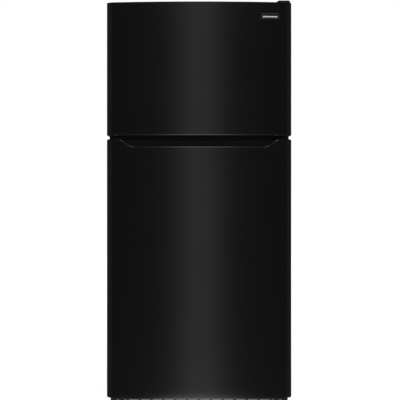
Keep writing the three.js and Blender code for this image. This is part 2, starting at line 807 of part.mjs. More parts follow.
// Fresh food door. The front sheet dips in an S-curve at each end of the pocket handle.
function scoopOutline(inset, top) {
  const points = [[-SCOOP_HALF + inset, top]];
  const steps = 10;
  for (let i = 0; i <= steps; i += 1) {
    const t = i / steps;
    const x = -SCOOP_HALF + inset + (SCOOP_HALF - LIP_HALF) * t;
    points.push([x, FRESH_DOOR[1] + 1 - (FRESH_DOOR[1] + 1 - LIP_Z) * (3 * t * t - 2 * t ** 3)]);
  }
  const mirrored = points.map(([x, z]) => [-x, z]).reverse();
  return [...points, ...mirrored];
}

const FRESH_RIM = [118, 1072];
const freshSkin = cut(doorSkin(FRESH_DOOR), alongY(scoopOutline(0, 1115), -395, -345));
part(freshDoor, "fresh_door_skin", freshSkin, blackPaint);

const pocket = doorBlock(LIP_DEPTH, POCKET_BACK, POCKET_FLOOR, 1115).intersect(
  box(-SCOOP_HALF + 12, SCOOP_HALF - 12, -400, -300, POCKET_FLOOR - 1, 1115),
);
const handleCap = cut(
  doorBlock(CAP_INSET, DOOR_BACK, 1040, 1107.4),
  alongY(scoopOutline(0.4, 1115), -395, POCKET_BACK),
  pocket,
  pinBore(1091, 1115),
);
part(freshDoor, "fresh_door_handle_cap", handleCap, blackPlastic);
part(freshDoor, "fresh_door_foam", doorFoam(62.9, 1039.7, FRESH_RIM), foam);

// The dairy compartment snaps between the sides of the liner's rim; a small flap closes it.
const DAIRY = { half: 240, pivotY: -217.5, pivotZ: 1009, floor: 900 };
part(
  freshDoor,
  "fresh_door_liner",
  doorLiner(FRESH_DOOR, FRESH_RIM, [lugs(170), lugs(560)].flat()),
  whitePlastic,
);
const dairyCompartment = cut(
  join(
    box(-283.6, 283.6, -294.3, -224, DAIRY.floor, DAIRY.floor + 3),
    box(-283.6, 283.6, -294.3, -206, 1020, 1023),
    box(-246, -243, -294.3, -208, DAIRY.floor, 1022),
    box(243, 246, -294.3, -208, DAIRY.floor, 1022),
  ),
  rod("x", [DAIRY.pivotY, DAIRY.pivotZ], 2.6, -250, 250),
);
part(freshDoor, "dairy_compartment", dairyCompartment, whitePlastic);
part(freshDoor, "fresh_door_gasket", gasket(86, 1104), gasketRubber);
part(
  freshDoor,
  "fresh_door_bottom_cap",
  cut(doorBlock(CAP_INSET, DOOR_BACK, 43.6, 62.6), pinBore(40, 60.5)),
  blackPlastic,
);
part(freshDoor, "door_bin_lower", doorBin(170, 290), clearPlastic);
part(freshDoor, "door_bin_upper", doorBin(560, 670), clearPlastic);

const dairyAxis = group("dairy_door_axis", freshDoor, 0, DAIRY.pivotY, DAIRY.pivotZ);
const dairyDoor = join(
  box(-DAIRY.half, DAIRY.half, -219, -216, DAIRY.floor + 6, DAIRY.pivotZ),
  rod("x", [DAIRY.pivotY, DAIRY.pivotZ], 3.2, -DAIRY.half, DAIRY.half, 12),
  rod("x", [DAIRY.pivotY, DAIRY.pivotZ], 2.2, -245.6, 245.6, 12),
);
part(dairyAxis, "dairy_door", dairyDoor, clearPlastic);

export default root;
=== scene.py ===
import json
import math

import bmesh
import bpy
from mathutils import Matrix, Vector

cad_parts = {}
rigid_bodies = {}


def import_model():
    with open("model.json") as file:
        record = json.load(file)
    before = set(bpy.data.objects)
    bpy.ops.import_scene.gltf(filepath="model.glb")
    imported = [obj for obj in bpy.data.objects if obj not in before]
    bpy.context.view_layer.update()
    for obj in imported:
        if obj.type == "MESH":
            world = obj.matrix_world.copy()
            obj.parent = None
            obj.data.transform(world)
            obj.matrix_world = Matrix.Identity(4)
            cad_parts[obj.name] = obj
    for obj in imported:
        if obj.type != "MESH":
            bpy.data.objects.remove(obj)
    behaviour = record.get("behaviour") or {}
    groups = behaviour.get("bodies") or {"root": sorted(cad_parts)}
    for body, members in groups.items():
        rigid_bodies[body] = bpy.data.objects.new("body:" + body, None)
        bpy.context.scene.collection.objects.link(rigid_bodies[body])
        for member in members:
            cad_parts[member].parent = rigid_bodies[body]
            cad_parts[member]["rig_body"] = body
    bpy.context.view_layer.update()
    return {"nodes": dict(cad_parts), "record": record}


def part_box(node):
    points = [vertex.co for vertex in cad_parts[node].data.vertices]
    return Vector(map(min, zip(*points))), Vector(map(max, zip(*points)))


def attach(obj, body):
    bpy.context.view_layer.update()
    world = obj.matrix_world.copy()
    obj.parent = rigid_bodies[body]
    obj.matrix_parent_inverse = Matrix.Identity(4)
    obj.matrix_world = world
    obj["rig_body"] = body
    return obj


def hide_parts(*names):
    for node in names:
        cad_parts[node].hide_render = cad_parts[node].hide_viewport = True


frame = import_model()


# Camera and studio
# A pale floor, a pale surround and large soft panels. The gloss paint takes its shading from the
# panels: one tall one behind the camera lights the crowned middle of the doors.
def linear(code):
    """An sRGB hex colour as linear red, green, blue and alpha."""
    values = [int(code[i : i + 2], 16) / 255 for i in (0, 2, 4)]
    return [v / 12.92 if v <= 0.04045 else ((v + 0.055) / 1.055) ** 2.4 for v in values] + [1.0]


def add(tree, kind, links=(), **settings):
    """Adds a node. A setting named after a socket fills it, any other is a property of the node."""
    node = tree.nodes.new(kind)
    for key, value in settings.items():
        socket = node.inputs.get(key.replace("_", " ")) if key[0].isupper() else None
        if socket is not None:
            socket.default_value = value
        else:
            setattr(node, key, value)
    for source, name in links:
        tree.links.new(source, node.inputs[name])
    return node


scene = bpy.context.scene
scene.view_settings.view_transform = "Standard"

# The camera looks level from a little above half height, about 2.6 m in front of the doors. The
# lens is shifted a little instead of tilted, which keeps the sides upright.
CAMERA_DISTANCE = 2.978
EYE_HEIGHT = 0.971
OFF_CENTRE = 0.0037
camera_data = bpy.data.cameras.new("studio_camera")
camera_data.sensor_width = 36
camera_data.lens = 57.1
camera_data.shift_y = -0.069
camera = bpy.data.objects.new("studio_camera", camera_data)
camera.location = (OFF_CENTRE, -CAMERA_DISTANCE, EYE_HEIGHT)
camera.rotation_euler = (math.pi / 2, 0, 0)
scene.collection.objects.link(camera)
scene.camera = camera

world = bpy.data.worlds.new("studio_surround")
scene.world = world
world.use_nodes = True
world_tree = world.node_tree
world_tree.nodes.clear()
ray = add(world_tree, "ShaderNodeLightPath")
# Gloss sees a dark wall all round, between the bright ceiling and the bright floor.
direction = add(world_tree, "ShaderNodeTexCoord")
height = add(world_tree, "ShaderNodeSeparateXYZ", [(direction.outputs["Generated"], 0)])
steepness = add(world_tree, "ShaderNodeMath", [(height.outputs["Z"], 0)], operation="ABSOLUTE")
glow = add(
    world_tree,
    "ShaderNodeMapRange",
    [(steepness.outputs[0], "Value")],
    From_Min=0.42,
    From_Max=0.62,
    To_Min=0.02,
    To_Max=0.12,
)
fill = add(world_tree, "ShaderNodeBackground", Color=linear("ffffff"), Strength=0.55)
dim = add(world_tree, "ShaderNodeBackground", [(glow.outputs[0], "Strength")], Color=linear("ffffff"))
backdrop = add(world_tree, "ShaderNodeBackground", Color=linear("ffffff"), Strength=1.0)
seen_in_gloss = add(world_tree, "ShaderNodeMixShader", [(ray.outputs["Is Glossy Ray"], 0)])
seen_directly = add(world_tree, "ShaderNodeMixShader", [(ray.outputs["Is Camera Ray"], 0)])
world_tree.links.new(fill.outputs[0], seen_in_gloss.inputs[1])
world_tree.links.new(dim.outputs[0], seen_in_gloss.inputs[2])
world_tree.links.new(seen_in_gloss.outputs[0], seen_directly.inputs[1])
world_tree.links.new(backdrop.outputs[0], seen_directly.inputs[2])
add(world_tree, "ShaderNodeOutputWorld", [(seen_directly.outputs[0], "Surface")])

# The floor stays out of the gloss paint's reflections, as on a raised studio plinth.
FLOOR_HALF = 30
floor_corners = [
    (-FLOOR_HALF, -FLOOR_HALF, 0),
    (FLOOR_HALF, -FLOOR_HALF, 0),
    (FLOOR_HALF, FLOOR_HALF, 0),
    (-FLOOR_HALF, FLOOR_HALF, 0),
]
floor_mesh = bpy.data.meshes.new("studio_floor")
floor_mesh.from_pydata(floor_corners, [], [(0, 1, 2, 3)])
studio_floor = bpy.data.objects.new("studio_floor", floor_mesh)
studio_floor.visible_glossy = False
studio_floor.visible_shadow = False
scene.collection.objects.link(studio_floor)
floor_paint = bpy.data.materials.new("matte_white_floor_paint")
floor_paint.use_nodes = True
floor_shader = floor_paint.node_tree.nodes["Principled BSDF"]
floor_shader.inputs["Base Color"].default_value = linear("9c9c9a")
floor_shader.inputs["Roughness"].default_value = 0.9
floor_shader.inputs["Specular IOR Level"].default_value = 0.0
floor_shader.inputs["Emission Color"].default_value = linear("ffffff")
# The floor's own glow stands for the studio light that it sends back. Under the cabinet the
# glow is taken away as a painted shadow, which fades over 40 mm at the edge of that area.
UNDER_HALF_WIDTH = 0.36
UNDER_HALF_DEPTH = 0.32
UNDER_CENTRE = 0.04
FADE = 0.02
GLOW = 0.86
floor_tree = floor_paint.node_tree
spot = add(floor_tree, "ShaderNodeTexCoord")
plan = add(floor_tree, "ShaderNodeSeparateXYZ", [(spot.outputs["Object"], 0)])
across = add(floor_tree, "ShaderNodeMath", [(plan.outputs["X"], 0)], operation="ABSOLUTE")
centred = add(floor_tree, "ShaderNodeMath", [(plan.outputs["Y"], 0)], operation="SUBTRACT")
centred.inputs[1].default_value = UNDER_CENTRE
along = add(floor_tree, "ShaderNodeMath", [(centred.outputs[0], 0)], operation="ABSOLUTE")
near_side = add(floor_tree, "ShaderNodeMath", [(across.outputs[0], 0)], operation="SUBTRACT")
near_side.inputs[1].default_value = UNDER_HALF_WIDTH
near_end = add(floor_tree, "ShaderNodeMath", [(along.outputs[0], 0)], operation="SUBTRACT")
near_end.inputs[1].default_value = UNDER_HALF_DEPTH
clear = add(
    floor_tree,
    "ShaderNodeMath",
    [(near_side.outputs[0], 0), (near_end.outputs[0], 1)],
    operation="MAXIMUM",
)
# Painted shadow: the floor's glow drops to nothing inside the cabinet's footprint.
lit = add(
    floor_tree,
    "ShaderNodeMapRange",
    [(clear.outputs[0], "Value")],
    From_Min=-FADE,
    From_Max=FADE,
    To_Max=GLOW,
)
floor_tree.links.new(lit.outputs["Result"], floor_shader.inputs["Emission Strength"])
floor_mesh.materials.append(floor_paint)


def panel(name, place, aim, width, height, radiance):
    """A rectangular soft light that looks at a point, of an even brightness."""
    data = bpy.data.lights.new(name, "AREA")
    data.shape = "RECTANGLE"
    data.size = width
    data.size_y = height
    data.energy = radiance * width * height * math.pi
    light = bpy.data.objects.new(name, data)
    light.location = place
    light.rotation_euler = (Vector(aim) - Vector(place)).to_track_quat("-Z", "Y").to_euler()
    light.visible_camera = False
    scene.collection.objects.link(light)


MIDDLE = (0, 0, 0.9)
panel("front_strip", (0, -4.6, 0.9), MIDDLE, 0.6, 14.0, 0.78)
panel("left_strip", (-4.2, -2.8, 0.9), MIDDLE, 3.6, 9.0, 0.12)
panel("right_strip", (4.2, -2.8, 0.9), MIDDLE, 3.6, 9.0, 0.12)
# The next two lie above the doors and below floor level. They light the rolled edges and the lip.
panel("top_panel", (0, -1.2, 4.2), (0, -0.3, 0), 0.9, 5.0, 2.6)
panel("low_panel", (0, -1.2, -2.2), (0, -0.3, 1), 0.9, 5.0, 2.2)
panel("back_strip", (0.8, 4.4, 0.9), MIDDLE, 2.4, 5.0, 0.9)


# Door sheets
# Each door front is one steel sheet, crowned across its width, with rolled hems top and bottom.
# It is painted in gloss black enamel, which levels to a faint orange peel.
def material(name):
    """An empty material and its node tree."""
    made = bpy.data.materials.new(name)
    made.use_nodes = True
    made.node_tree.nodes.clear()
    return made, made.node_tree


black_enamel, tree = material("steel_with_gloss_black_enamel")
place = add(tree, "ShaderNodeTexCoord")
# Orange peel has waves of about 2 mm; they are drawn 4 mm wide so that they show.
peel = add(tree, "ShaderNodeTexNoise", [(place.outputs["Object"], "Vector")], Scale=250.0, Detail=2.0)
# The levels of gloss drift slowly over about 150 mm, as on a sprayed panel.
drift = add(tree, "ShaderNodeTexNoise", [(place.outputs["Object"], "Vector")], Scale=7.0, Detail=3.0)
gloss = add(tree, "ShaderNodeMapRange", [(drift.outputs["Fac"], "Value")], To_Min=0.2, To_Max=0.24)
wave = add(tree, "ShaderNodeBump", [(peel.outputs["Fac"], "Height")], Strength=0.05, Distance=0.0004)
enamel = add(
    tree,
    "ShaderNodeBsdfPrincipled",
    [(gloss.outputs["Result"], "Roughness"), (wave.outputs["Normal"], "Normal")],
    Base_Color=linear("080908"),
    IOR=1.5,
)
add(tree, "ShaderNodeOutputMaterial", [(enamel.outputs[0], "Surface")])

MM = 0.001
DOOR_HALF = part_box("fresh_door_skin")[1].x / MM
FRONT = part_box("fresh_door_skin")[0].y / MM
# The sides stand 16 mm behind the middle, then roll back over a quarter ellipse.
CROWN = 16
EDGE_WIDTH, EDGE_DEPTH = 40, 19
DOOR_BACK = -297
# The sheet turns in by 9 mm behind the foam.
RETURN = 9


def crown_at(x):
    """How far forward the sheet lies at x: the y of its crowned face."""
    return FRONT + CROWN * (x / DOOR_HALF) ** 2


def build(name, rows, surface, body, replaces=(), closed=False, caps=(False, False), angle=38):
    """A mesh from rows of points in mm, joined row to row; closed joins each row's ends."""
    mesh = bpy.data.meshes.new(name)
    solid = bmesh.new()
    made = [[solid.verts.new([c * MM for c in point]) for point in row] for row in rows]
    for low, high in zip(made, made[1:]):
        count = len(low)
        for i in range(count if closed else count - 1):
            j = (i + 1) % count
            corners = [low[i], low[j], high[j], high[i]]
            solid.faces.new(corners)
    if caps[0]:
        solid.faces.new(list(reversed(made[0])))
    if caps[1]:
        solid.faces.new(made[-1])
    bmesh.ops.remove_doubles(solid, verts=solid.verts, dist=1e-6)
    bmesh.ops.dissolve_degenerate(solid, edges=solid.edges, dist=1e-7)
    bmesh.ops.recalc_face_normals(solid, faces=solid.faces)
    solid.to_mesh(mesh)
    solid.free()
    mesh.shade_smooth()
    mesh.set_sharp_from_angle(angle=math.radians(angle))
    mesh.materials.append(surface)
    obj = bpy.data.objects.new(name, mesh)
    scene.collection.objects.link(obj)
    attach(obj, body)
    if replaces:
        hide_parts(*replaces)


def smooth_step(t):
    """Rises from 0 to 1 with level ends."""
    t = min(max(t, 0), 1)
    return t * t * (3 - 2 * t)


def plan_path():
    """The door's outline in plan, as (x, y, inward x, inward y)."""
    flat = DOOR_HALF - EDGE_WIDTH
    centre_y = crown_at(flat) + EDGE_DEPTH
    half = [
        (DOOR_HALF - RETURN, DOOR_BACK, 0, -1),
        (DOOR_HALF - 1.5, DOOR_BACK, -0.3, -0.95),
        (DOOR_HALF - 0.4, DOOR_BACK - 0.5, -0.8, -0.6),
        (DOOR_HALF, DOOR_BACK - 2, -1, 0),
        (DOOR_HALF, -330, -1, 0),
    ]
    for i in range(15):
        a = math.radians(-85 * i / 14)
        nx, ny = -math.cos(a) * EDGE_DEPTH, -math.sin(a) * EDGE_WIDTH
        length = math.hypot(nx, ny)
        x, y = flat + EDGE_WIDTH * math.cos(a), centre_y + EDGE_DEPTH * math.sin(a)
        half.append((x, y, nx / length, ny / length))
    across = []
    steps = 180
    for i in range(1, steps):
        x = flat - 2 * flat * i / steps
        slope = 2 * CROWN * x / DOOR_HALF**2
        length = math.hypot(1, slope)
        across.append((x, crown_at(x), -slope / length, 1 / length))
    mirrored = [(-x, y, -nx, ny) for x, y, nx, ny in reversed(half)]
    return half + across + mirrored


# Behind each rolled edge the sheet runs 9.5 mm in from the face.
TURN_IN = 9.5


def hem(radius):
    """A rolled edge in section: (distance in from the face, distance in from the edge)."""
    turns = [math.radians(15 * i) for i in range(7)]
    return [(TURN_IN, 0)] + [(radius - radius * math.sin(a), radius - radius * math.cos(a)) for a in turns]


def door_sheet(name, node, bottom, top, low_roll, high_roll):
    """The steel sheet; bottom and top give the edge height at each x, the rolls their radius."""
    path = plan_path()
    rows = []
    for d, up in hem(low_roll):
        rows.append([(x + nx * d, y + ny * d, bottom(x) + up) for x, y, nx, ny in path])
    for share in (0.03, 0.1, 0.25, 0.5, 0.75, 0.9, 0.97):
        rows.append([])
        for x, y, nx, ny in path:
            low, high = bottom(x) + low_roll, top(x) - high_roll
            rows[-1].append((x, y, low + (high - low) * share))
    for d, up in reversed(hem(high_roll)):
        rows.append([(x + nx * d, y + ny * d, top(x) - up) for x, y, nx, ny in path])
    build(name, rows, black_enamel, node.rsplit("_skin")[0], (node,))


FRESH_LOW, FRESH_TOP = 43, 1108
FREEZER_LOW, FREEZER_TOP = 1120, 1670
LIP_Z, LIP_HALF, SCOOP_HALF = 1078, 268, 330


def scoop_edge(x):
    """Top edge of the fresh food door: an S-curve at each end of the pocket handle."""
    t = (SCOOP_HALF - abs(x)) / (SCOOP_HALF - LIP_HALF)
    return FRESH_TOP - (FRESH_TOP - LIP_Z) * smooth_step(t)


def freezer_low_edge(x):
    """Bottom edge of the freezer door, lifted between its two ends."""
    return FREEZER_LOW + 2 * smooth_step((x + 341) / 6) * smooth_step((321 - x) / 6)


door_sheet("fresh_door_sheet", "fresh_door_skin", lambda x: FRESH_LOW, scoop_edge, 5, 6)
door_sheet("freezer_door_sheet", "freezer_door_skin", freezer_low_edge, lambda x: FREEZER_TOP, 7.5, 1.5)


# Door caps
# Moulded ABS caps close the top and bottom of each door. The one under the scoop forms the
# pocket that the fingers reach into, and the one above it has a matching recess.
black_abs, tree = material("moulded_black_abs")
place = add(tree, "ShaderNodeTexCoord")
# Spark-eroded moulding texture: grains of about 0.5 mm, drawn 1.2 mm wide so that they show.
grain = add(tree, "ShaderNodeTexVoronoi", [(place.outputs["Object"], "Vector")], Scale=830.0)
pits = add(tree, "ShaderNodeBump", [(grain.outputs["Distance"], "Height")], Strength=0.25, Distance=0.0002)
plastic = add(
    tree,
    "ShaderNodeBsdfPrincipled",
    [(pits.outputs["Normal"], "Normal")],
    Base_Color=linear("0d0e0d"),
    Roughness=0.55,
    IOR=1.5,
)
add(tree, "ShaderNodeOutputMaterial", [(plastic.outputs[0], "Surface")])

POCKET_BACK = -333
POCKET_FLOOR = 1045
CAP_TOP = 1107.4


def pocket_section(x, edge_z, floor_z, top_z, sign):
    """One section of a cap with a finger pocket; sign 1 opens upwards, -1 downwards."""
    front = crown_at(x)
    lip = front + 11
    depth = abs(floor_z - edge_z)
    fillet = min(8, depth * 0.45)
    points = [(x, front + 8.2, edge_z - sign * 0.6)]
    for i in range(5):
        a = math.radians(90 + 22.5 * i)
        radius = min(2.2, depth * 0.3)
        points.append((x, lip - radius - radius * math.cos(a), edge_z - sign * radius * (1 - math.sin(a))))
    for i in range(5):
        a = math.radians(22.5 * i)
        points.append((x, lip + fillet * (1 - math.cos(a)), floor_z + sign * fillet * (1 - math.sin(a))))
    for i in range(5):
        a = math.radians(22.5 * i)
        y = POCKET_BACK - fillet * (1 - math.sin(a))
        points.append((x, y, floor_z + sign * fillet * (1 - math.cos(a))))
    points.append((x, POCKET_BACK, top_z - sign * 2))
    points.append((x, POCKET_BACK + 2, top_z))
    points.append((x, DOOR_BACK - 0.5, top_z))
    return points


def cap_columns(edge, floor_at, top_z, sign):
    """Sections of a cap from side to side, just inside the sheet."""
    columns = []
    half = DOOR_HALF - 6
    for i in range(241):
        x = -half + 2 * half * i / 240
        columns.append(pocket_section(x, edge(x), floor_at(x), top_z, sign))
    return columns


def pocket_floor(x):
    """The pocket is shallow at its ends and deep in between."""
    shallow = 1105
    return shallow - (shallow - POCKET_FLOOR) * smooth_step((SCOOP_HALF - 8 - abs(x)) / 42)


build(
    "fresh_door_pocket_cap",
    cap_columns(lambda x: min(scoop_edge(x), CAP_TOP) - 0.2, pocket_floor, CAP_TOP, 1),
    black_abs,
    "fresh_door",
    ("fresh_door_handle_cap",),
)


def recess_roof(x):
    """The recess over the pocket rises 16 mm between its two ends."""
    return 1127 + 16 * smooth_step((300 - abs(x)) / 30)


build(
    "freezer_door_grip_cap",
    cap_columns(lambda x: freezer_low_edge(x) + 0.6, recess_roof, 1120.8, -1),
    black_abs,
    "freezer_door",
    ("freezer_door_bottom_cap",),
)


# Door end caps
# Flat moulded ABS strips that close the top and bottom ends of the foamed doors.
def soften(node, surface, width, segments=2):
    """A CAD piece with its edges rounded by a width in mm; it stands for the node."""
    source = frame["nodes"][node]
    body, slot = source["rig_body"], slot_of[node]
    mesh = source.data.copy()
    mesh.name = node + "_finished"
    solid = bmesh.new()
    solid.from_mesh(mesh)
    bmesh.ops.remove_doubles(solid, verts=solid.verts, dist=1e-6)
    bmesh.ops.dissolve_limit(solid, angle_limit=math.radians(1), verts=solid.verts, edges=solid.edges)
    solid.to_mesh(mesh)
    solid.free()
    mesh.materials.clear()
    mesh.materials.append(surface)
    obj = bpy.data.objects.new(mesh.name, mesh)
    scene.collection.objects.link(obj)
    bevel = obj.modifiers.new("rounded_edges", "BEVEL")
    bevel.width = width * MM
    bevel.segments = segments
    bevel.limit_method = "ANGLE"
    bevel.angle_limit = math.radians(35)
    bevel.harden_normals = True
    mesh.shade_smooth()
    mesh.set_sharp_from_angle(angle=math.radians(35))
    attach(obj, body)
    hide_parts(node)


slot_of = {part["node"]: part["material_slot"] for part in frame["record"]["subparts"]}
soften("freezer_door_top_cap", black_abs, 0.8)
soften("fresh_door_bottom_cap", black_abs, 0.8)


# Door foam
# Polyurethane foamed in place between sheet and liner. It is sealed in and never seen.
pu_foam, tree = material("foamed_polyurethane")
place = add(tree, "ShaderNodeTexCoord")
# Foam cells are about 0.3 mm; they are drawn 3 mm wide so that they show.
cells = add(tree, "ShaderNodeTexVoronoi", [(place.outputs["Object"], "Vector")], Scale=330.0)
dents = add(tree, "ShaderNodeBump", [(cells.outputs["Distance"], "Height")], Strength=0.6, Distance=0.0008)
foam_shader = add(
    tree,
    "ShaderNodeBsdfPrincipled",
    [(dents.outputs["Normal"], "Normal")],
    Base_Color=linear("d8c48f"),
    Roughness=0.9,
)
add(tree, "ShaderNodeOutputMaterial", [(foam_shader.outputs[0], "Surface")])


def dress(nodes, surface):
    """Gives a material to CAD pieces that keep their own shape."""
    for node in nodes:
        mesh = frame["nodes"][node].data
        mesh.materials.clear()
        mesh.materials.append(surface)


dress(["foam_insulation"], pu_foam)


# Door liners
# One vacuum-formed sheet of white ABS closes the back of each door. A raised rim, formed in the
# sheet, stiffens it and carries the bins; the corners are generous because the sheet is stretched.
white_abs, tree = material("vacuum_formed_white_abs")
place = add(tree, "ShaderNodeTexCoord")
# Rolled sheet has a fine haircell texture of about 0.8 mm, drawn 1.5 mm wide so that it shows.
cell = add(tree, "ShaderNodeTexVoronoi", [(place.outputs["Object"], "Vector")], Scale=660.0)
hair = add(tree, "ShaderNodeBump", [(cell.outputs["Distance"], "Height")], Strength=0.12, Distance=0.0002)
# The sheet thins where it is stretched, so its white varies a little over 120 mm.
shade = add(tree, "ShaderNodeTexNoise", [(place.outputs["Object"], "Vector")], Scale=8.0, Detail=2.0)
tone = add(tree, "ShaderNodeValToRGB", [(shade.outputs["Fac"], "Fac")])
tone.color_ramp.elements[0].color = linear("e2e5e2")
tone.color_ramp.elements[1].color = linear("eceeeb")
abs_shader = add(
    tree,
    "ShaderNodeBsdfPrincipled",
    [(tone.outputs["Color"], "Base Color"), (hair.outputs["Normal"], "Normal")],
    Roughness=0.36,
    IOR=1.53,
)
add(tree, "ShaderNodeOutputMaterial", [(abs_shader.outputs[0], "Surface")])


def rounded(x0, x1, z0, z1, radius, y, steps=7, axis="y"):
    """A closed loop: a rounded rectangle across an axis, at one height along it."""
    loop = []
    for cx, cz, start in (
        (x1 - radius, z1 - radius, 0),
        (x0 + radius, z1 - radius, 90),
        (x0 + radius, z0 + radius, 180),
        (x1 - radius, z0 + radius, 270),
    ):
        for i in range(steps + 1):
            a = math.radians(start + 90 * i / steps)
            p, q = cx + radius * math.cos(a), cz + radius * math.sin(a)
            loop.append({"y": (p, y, q), "z": (p, q, y), "x": (y, p, q)}[axis])
    return loop


def stack(name, levels, surface, body, replaces=(), axis="y", caps=(True, True), steps=7, angle=38):
    """A body of nested rounded rectangles, each (x0, x1, z0, z1, corner radius, height)."""
    rows = [rounded(*level, steps=steps, axis=axis) for level in levels]
    build(name, rows, surface, body, replaces, closed=True, caps=caps, angle=angle)


def door_liner(name, node, body, z0, z1, rim0, rim1):
    """From the flange under the gasket, over the raised rim and down to the plate inside it."""
    # The flange and the plate lie on the foam's back; the rim stands 45 mm into the food space.
    plate, rim = -294.7, -250
    levels = [
        (-375, 375, z0 + 4, z1 - 4, 6, -296.6),
        (-375, 375, z0 + 4, z1 - 4, 6, plate - 0.6),
        (-374, 374, z0 + 5, z1 - 5, 6, plate),
        (-332, 332, rim0 - 16, rim1 + 16, 22, plate),
        (-330, 330, rim0 - 14, rim1 + 14, 22, plate - 1.6),
        (-322, 322, rim0 - 6, rim1 + 6, 24, plate - 1.6),
        (-317, 317, rim0 - 1, rim1 + 1, 24, plate + 2),
        (-314, 314, rim0 + 2, rim1 - 2, 24, -280),
        (-311, 311, rim0 + 5, rim1 - 5, 24, -258),
        (-309, 309, rim0 + 7, rim1 - 7, 24, -253),
        (-305, 305, rim0 + 11, rim1 - 11, 22, rim),
        (-292, 292, rim0 + 24, rim1 - 24, 18, rim),
        (-287, 287, rim0 + 29, rim1 - 29, 16, -252),
        (-285, 285, rim0 + 31, rim1 - 31, 14, -257),
        (-284, 284, rim0 + 32, rim1 - 32, 14, -285),
        (-282, 282, rim0 + 35, rim1 - 35, 12, -292),
        (-277, 277, rim0 + 40, rim1 - 40, 10, plate),
    ]
    stack(name, levels, white_abs, body, (node,))


def foam_slab(name, node, body, z0, z1):
    """The door's foam, a little inside the sheet all round."""
    gap = 4
    rows = [[(x + nx * gap, y + ny * gap, z) for x, y, nx, ny in plan_path()] for z in (z0, z1)]
    build(name, rows, pu_foam, body, (node,), closed=True, caps=(True, True))


foam_slab("fresh_door_foam_core", "fresh_door_foam", "fresh_door", 66, 1036)
foam_slab("freezer_door_foam_core", "freezer_door_foam", "freezer_door", 1153, 1650)
door_liner("fresh_door_inner_panel", "fresh_door_liner", "fresh_door", 45, 1108, 118, 1072)
door_liner("freezer_door_inner_panel", "freezer_door_liner", "freezer_door", 1122, 1670, 1158, 1592)


# Bin supports
# Ribbed ABS lugs moulded into the sides of the rim; a bin's hooks drop over them.
def support_lugs(name, body, heights):
    """A lug on each side of the rim at each height."""
    places = [(z, side) for z in heights for side in (-1, 1)]
    for count, (z, side) in enumerate(places):
        x0, x1 = sorted((side * 276.5, side * 285))
        levels = [
            (x0, x1, -276, -260, 1.5, z - 8),
            (x0, x1, -276, -260, 1.5, z - 1.4),
            (x0 + 0.8, x1 - 0.8, -275, -261, 1.2, z - 0.5),
        ]
        stack(f"{name}_{count + 1}", levels, white_abs, body, axis="z", steps=3)


support_lugs("fresh_door_lug", "fresh_door", (170, 560))
support_lugs("freezer_door_lug", "freezer_door", (1200, 1390))


# Door gaskets
# Extruded PVC with a bellows and a magnetic strip, pressed into a groove round the liner. Two
# soft folds run all the way round, and the corners are welded at 45 degrees.
pvc, tree = material("extruded_soft_black_pvc")
place = add(tree, "ShaderNodeTexCoord")
# Extrusion leaves a soft mottle of about 5 mm.
mottle = add(tree, "ShaderNodeTexNoise", [(place.outputs["Object"], "Vector")], Scale=200.0, Detail=3.0)
press = add(tree, "ShaderNodeBump", [(mottle.outputs["Fac"], "Height")], Strength=0.15, Distance=0.0003)
pvc_shader = add(
    tree,
    "ShaderNodeBsdfPrincipled",
    [(press.outputs["Normal"], "Normal")],
    Base_Color=linear("1e1f1f"),
    Roughness=0.55,
    IOR=1.5,
)
add(tree, "ShaderNodeOutputMaterial", [(pvc_shader.outputs[0], "Surface")])


def gasket(name, node, body, z0, z1):
    """Nested loops that go round the bellows section: out over the folds and back inside."""
    outer = [(17, -294.3), (3, -294.3), (1.5, -293.4), (1.2, -291.5), (3.4, -289.6), (3.4, -288.8)]
    face = [(0.6, -286.8), (0.2, -284), (0.8, -282), (2, -281.4), (13, -281.4), (14.4, -281.9)]
    inner = [(15, -283.2), (17.8, -285), (19.8, -287.4), (19.8, -288.6), (17, -290.6), (18.4, -292.6)]
    section = outer + face + inner + outer[:1]
    levels = [(-353 + d, 353 - d, z0 + d, z1 - d, max(1, 9 - d * 0.35), y) for d, y in section]
    stack(name, levels, pvc, body, (node,), caps=(False, False), angle=50)


gasket("fresh_door_seal", "fresh_door_gasket", "fresh_door", 86, 1104)
gasket("freezer_door_seal", "freezer_door_gasket", "freezer_door", 1126, 1626)


# Badge
# A small die-cast plate with a satin dark face and a bright raised border, stuck on the freezer
# door. It carries a plain bar and no lettering.
satin_zinc, tree = material("die_cast_zinc_with_satin_chrome_plate")
place = add(tree, "ShaderNodeTexCoord")
# Brush lines are 0.1 mm apart along the plate's length, drawn 0.5 mm apart so that they show.
stretch = add(tree, "ShaderNodeMapping", [(place.outputs["Object"], "Vector")], Scale=(60, 60, 2000))
brush = add(tree, "ShaderNodeTexNoise", [(stretch.outputs["Vector"], "Vector")], Scale=1.0, Detail=2.0)
lines = add(tree, "ShaderNodeBump", [(brush.outputs["Fac"], "Height")], Strength=0.1, Distance=0.0001)
zinc_shader = add(
    tree,
    "ShaderNodeBsdfPrincipled",
    [(lines.outputs["Normal"], "Normal")],
    Base_Color=linear("6f7173"),
    Metallic=1.0,
    Roughness=0.38,
)
add(tree, "ShaderNodeOutputMaterial", [(zinc_shader.outputs[0], "Surface")])


def badge_piece(name, x0, x1, z0, z1, low, high, edge, surface, replaces=()):
    """A thin plate between two heights over the door's crown, with its edge bevelled."""
    loops = []
    for grow, lift in ((0, low), (0, high - edge), (edge, high), ((z1 - z0) / 2 - 0.4, high)):
        xs = [x0 + grow + (x1 - x0 - 2 * grow) * i / 12 for i in range(13)]
        below = [(x, crown_at(x) - lift, z0 + grow) for x in xs]
        above = [(x, crown_at(x) - lift, z1 - grow) for x in reversed(xs)]
        loops.append(below + above)
    build(name, loops, surface, "freezer_door", replaces, closed=True, caps=(True, True), angle=25)


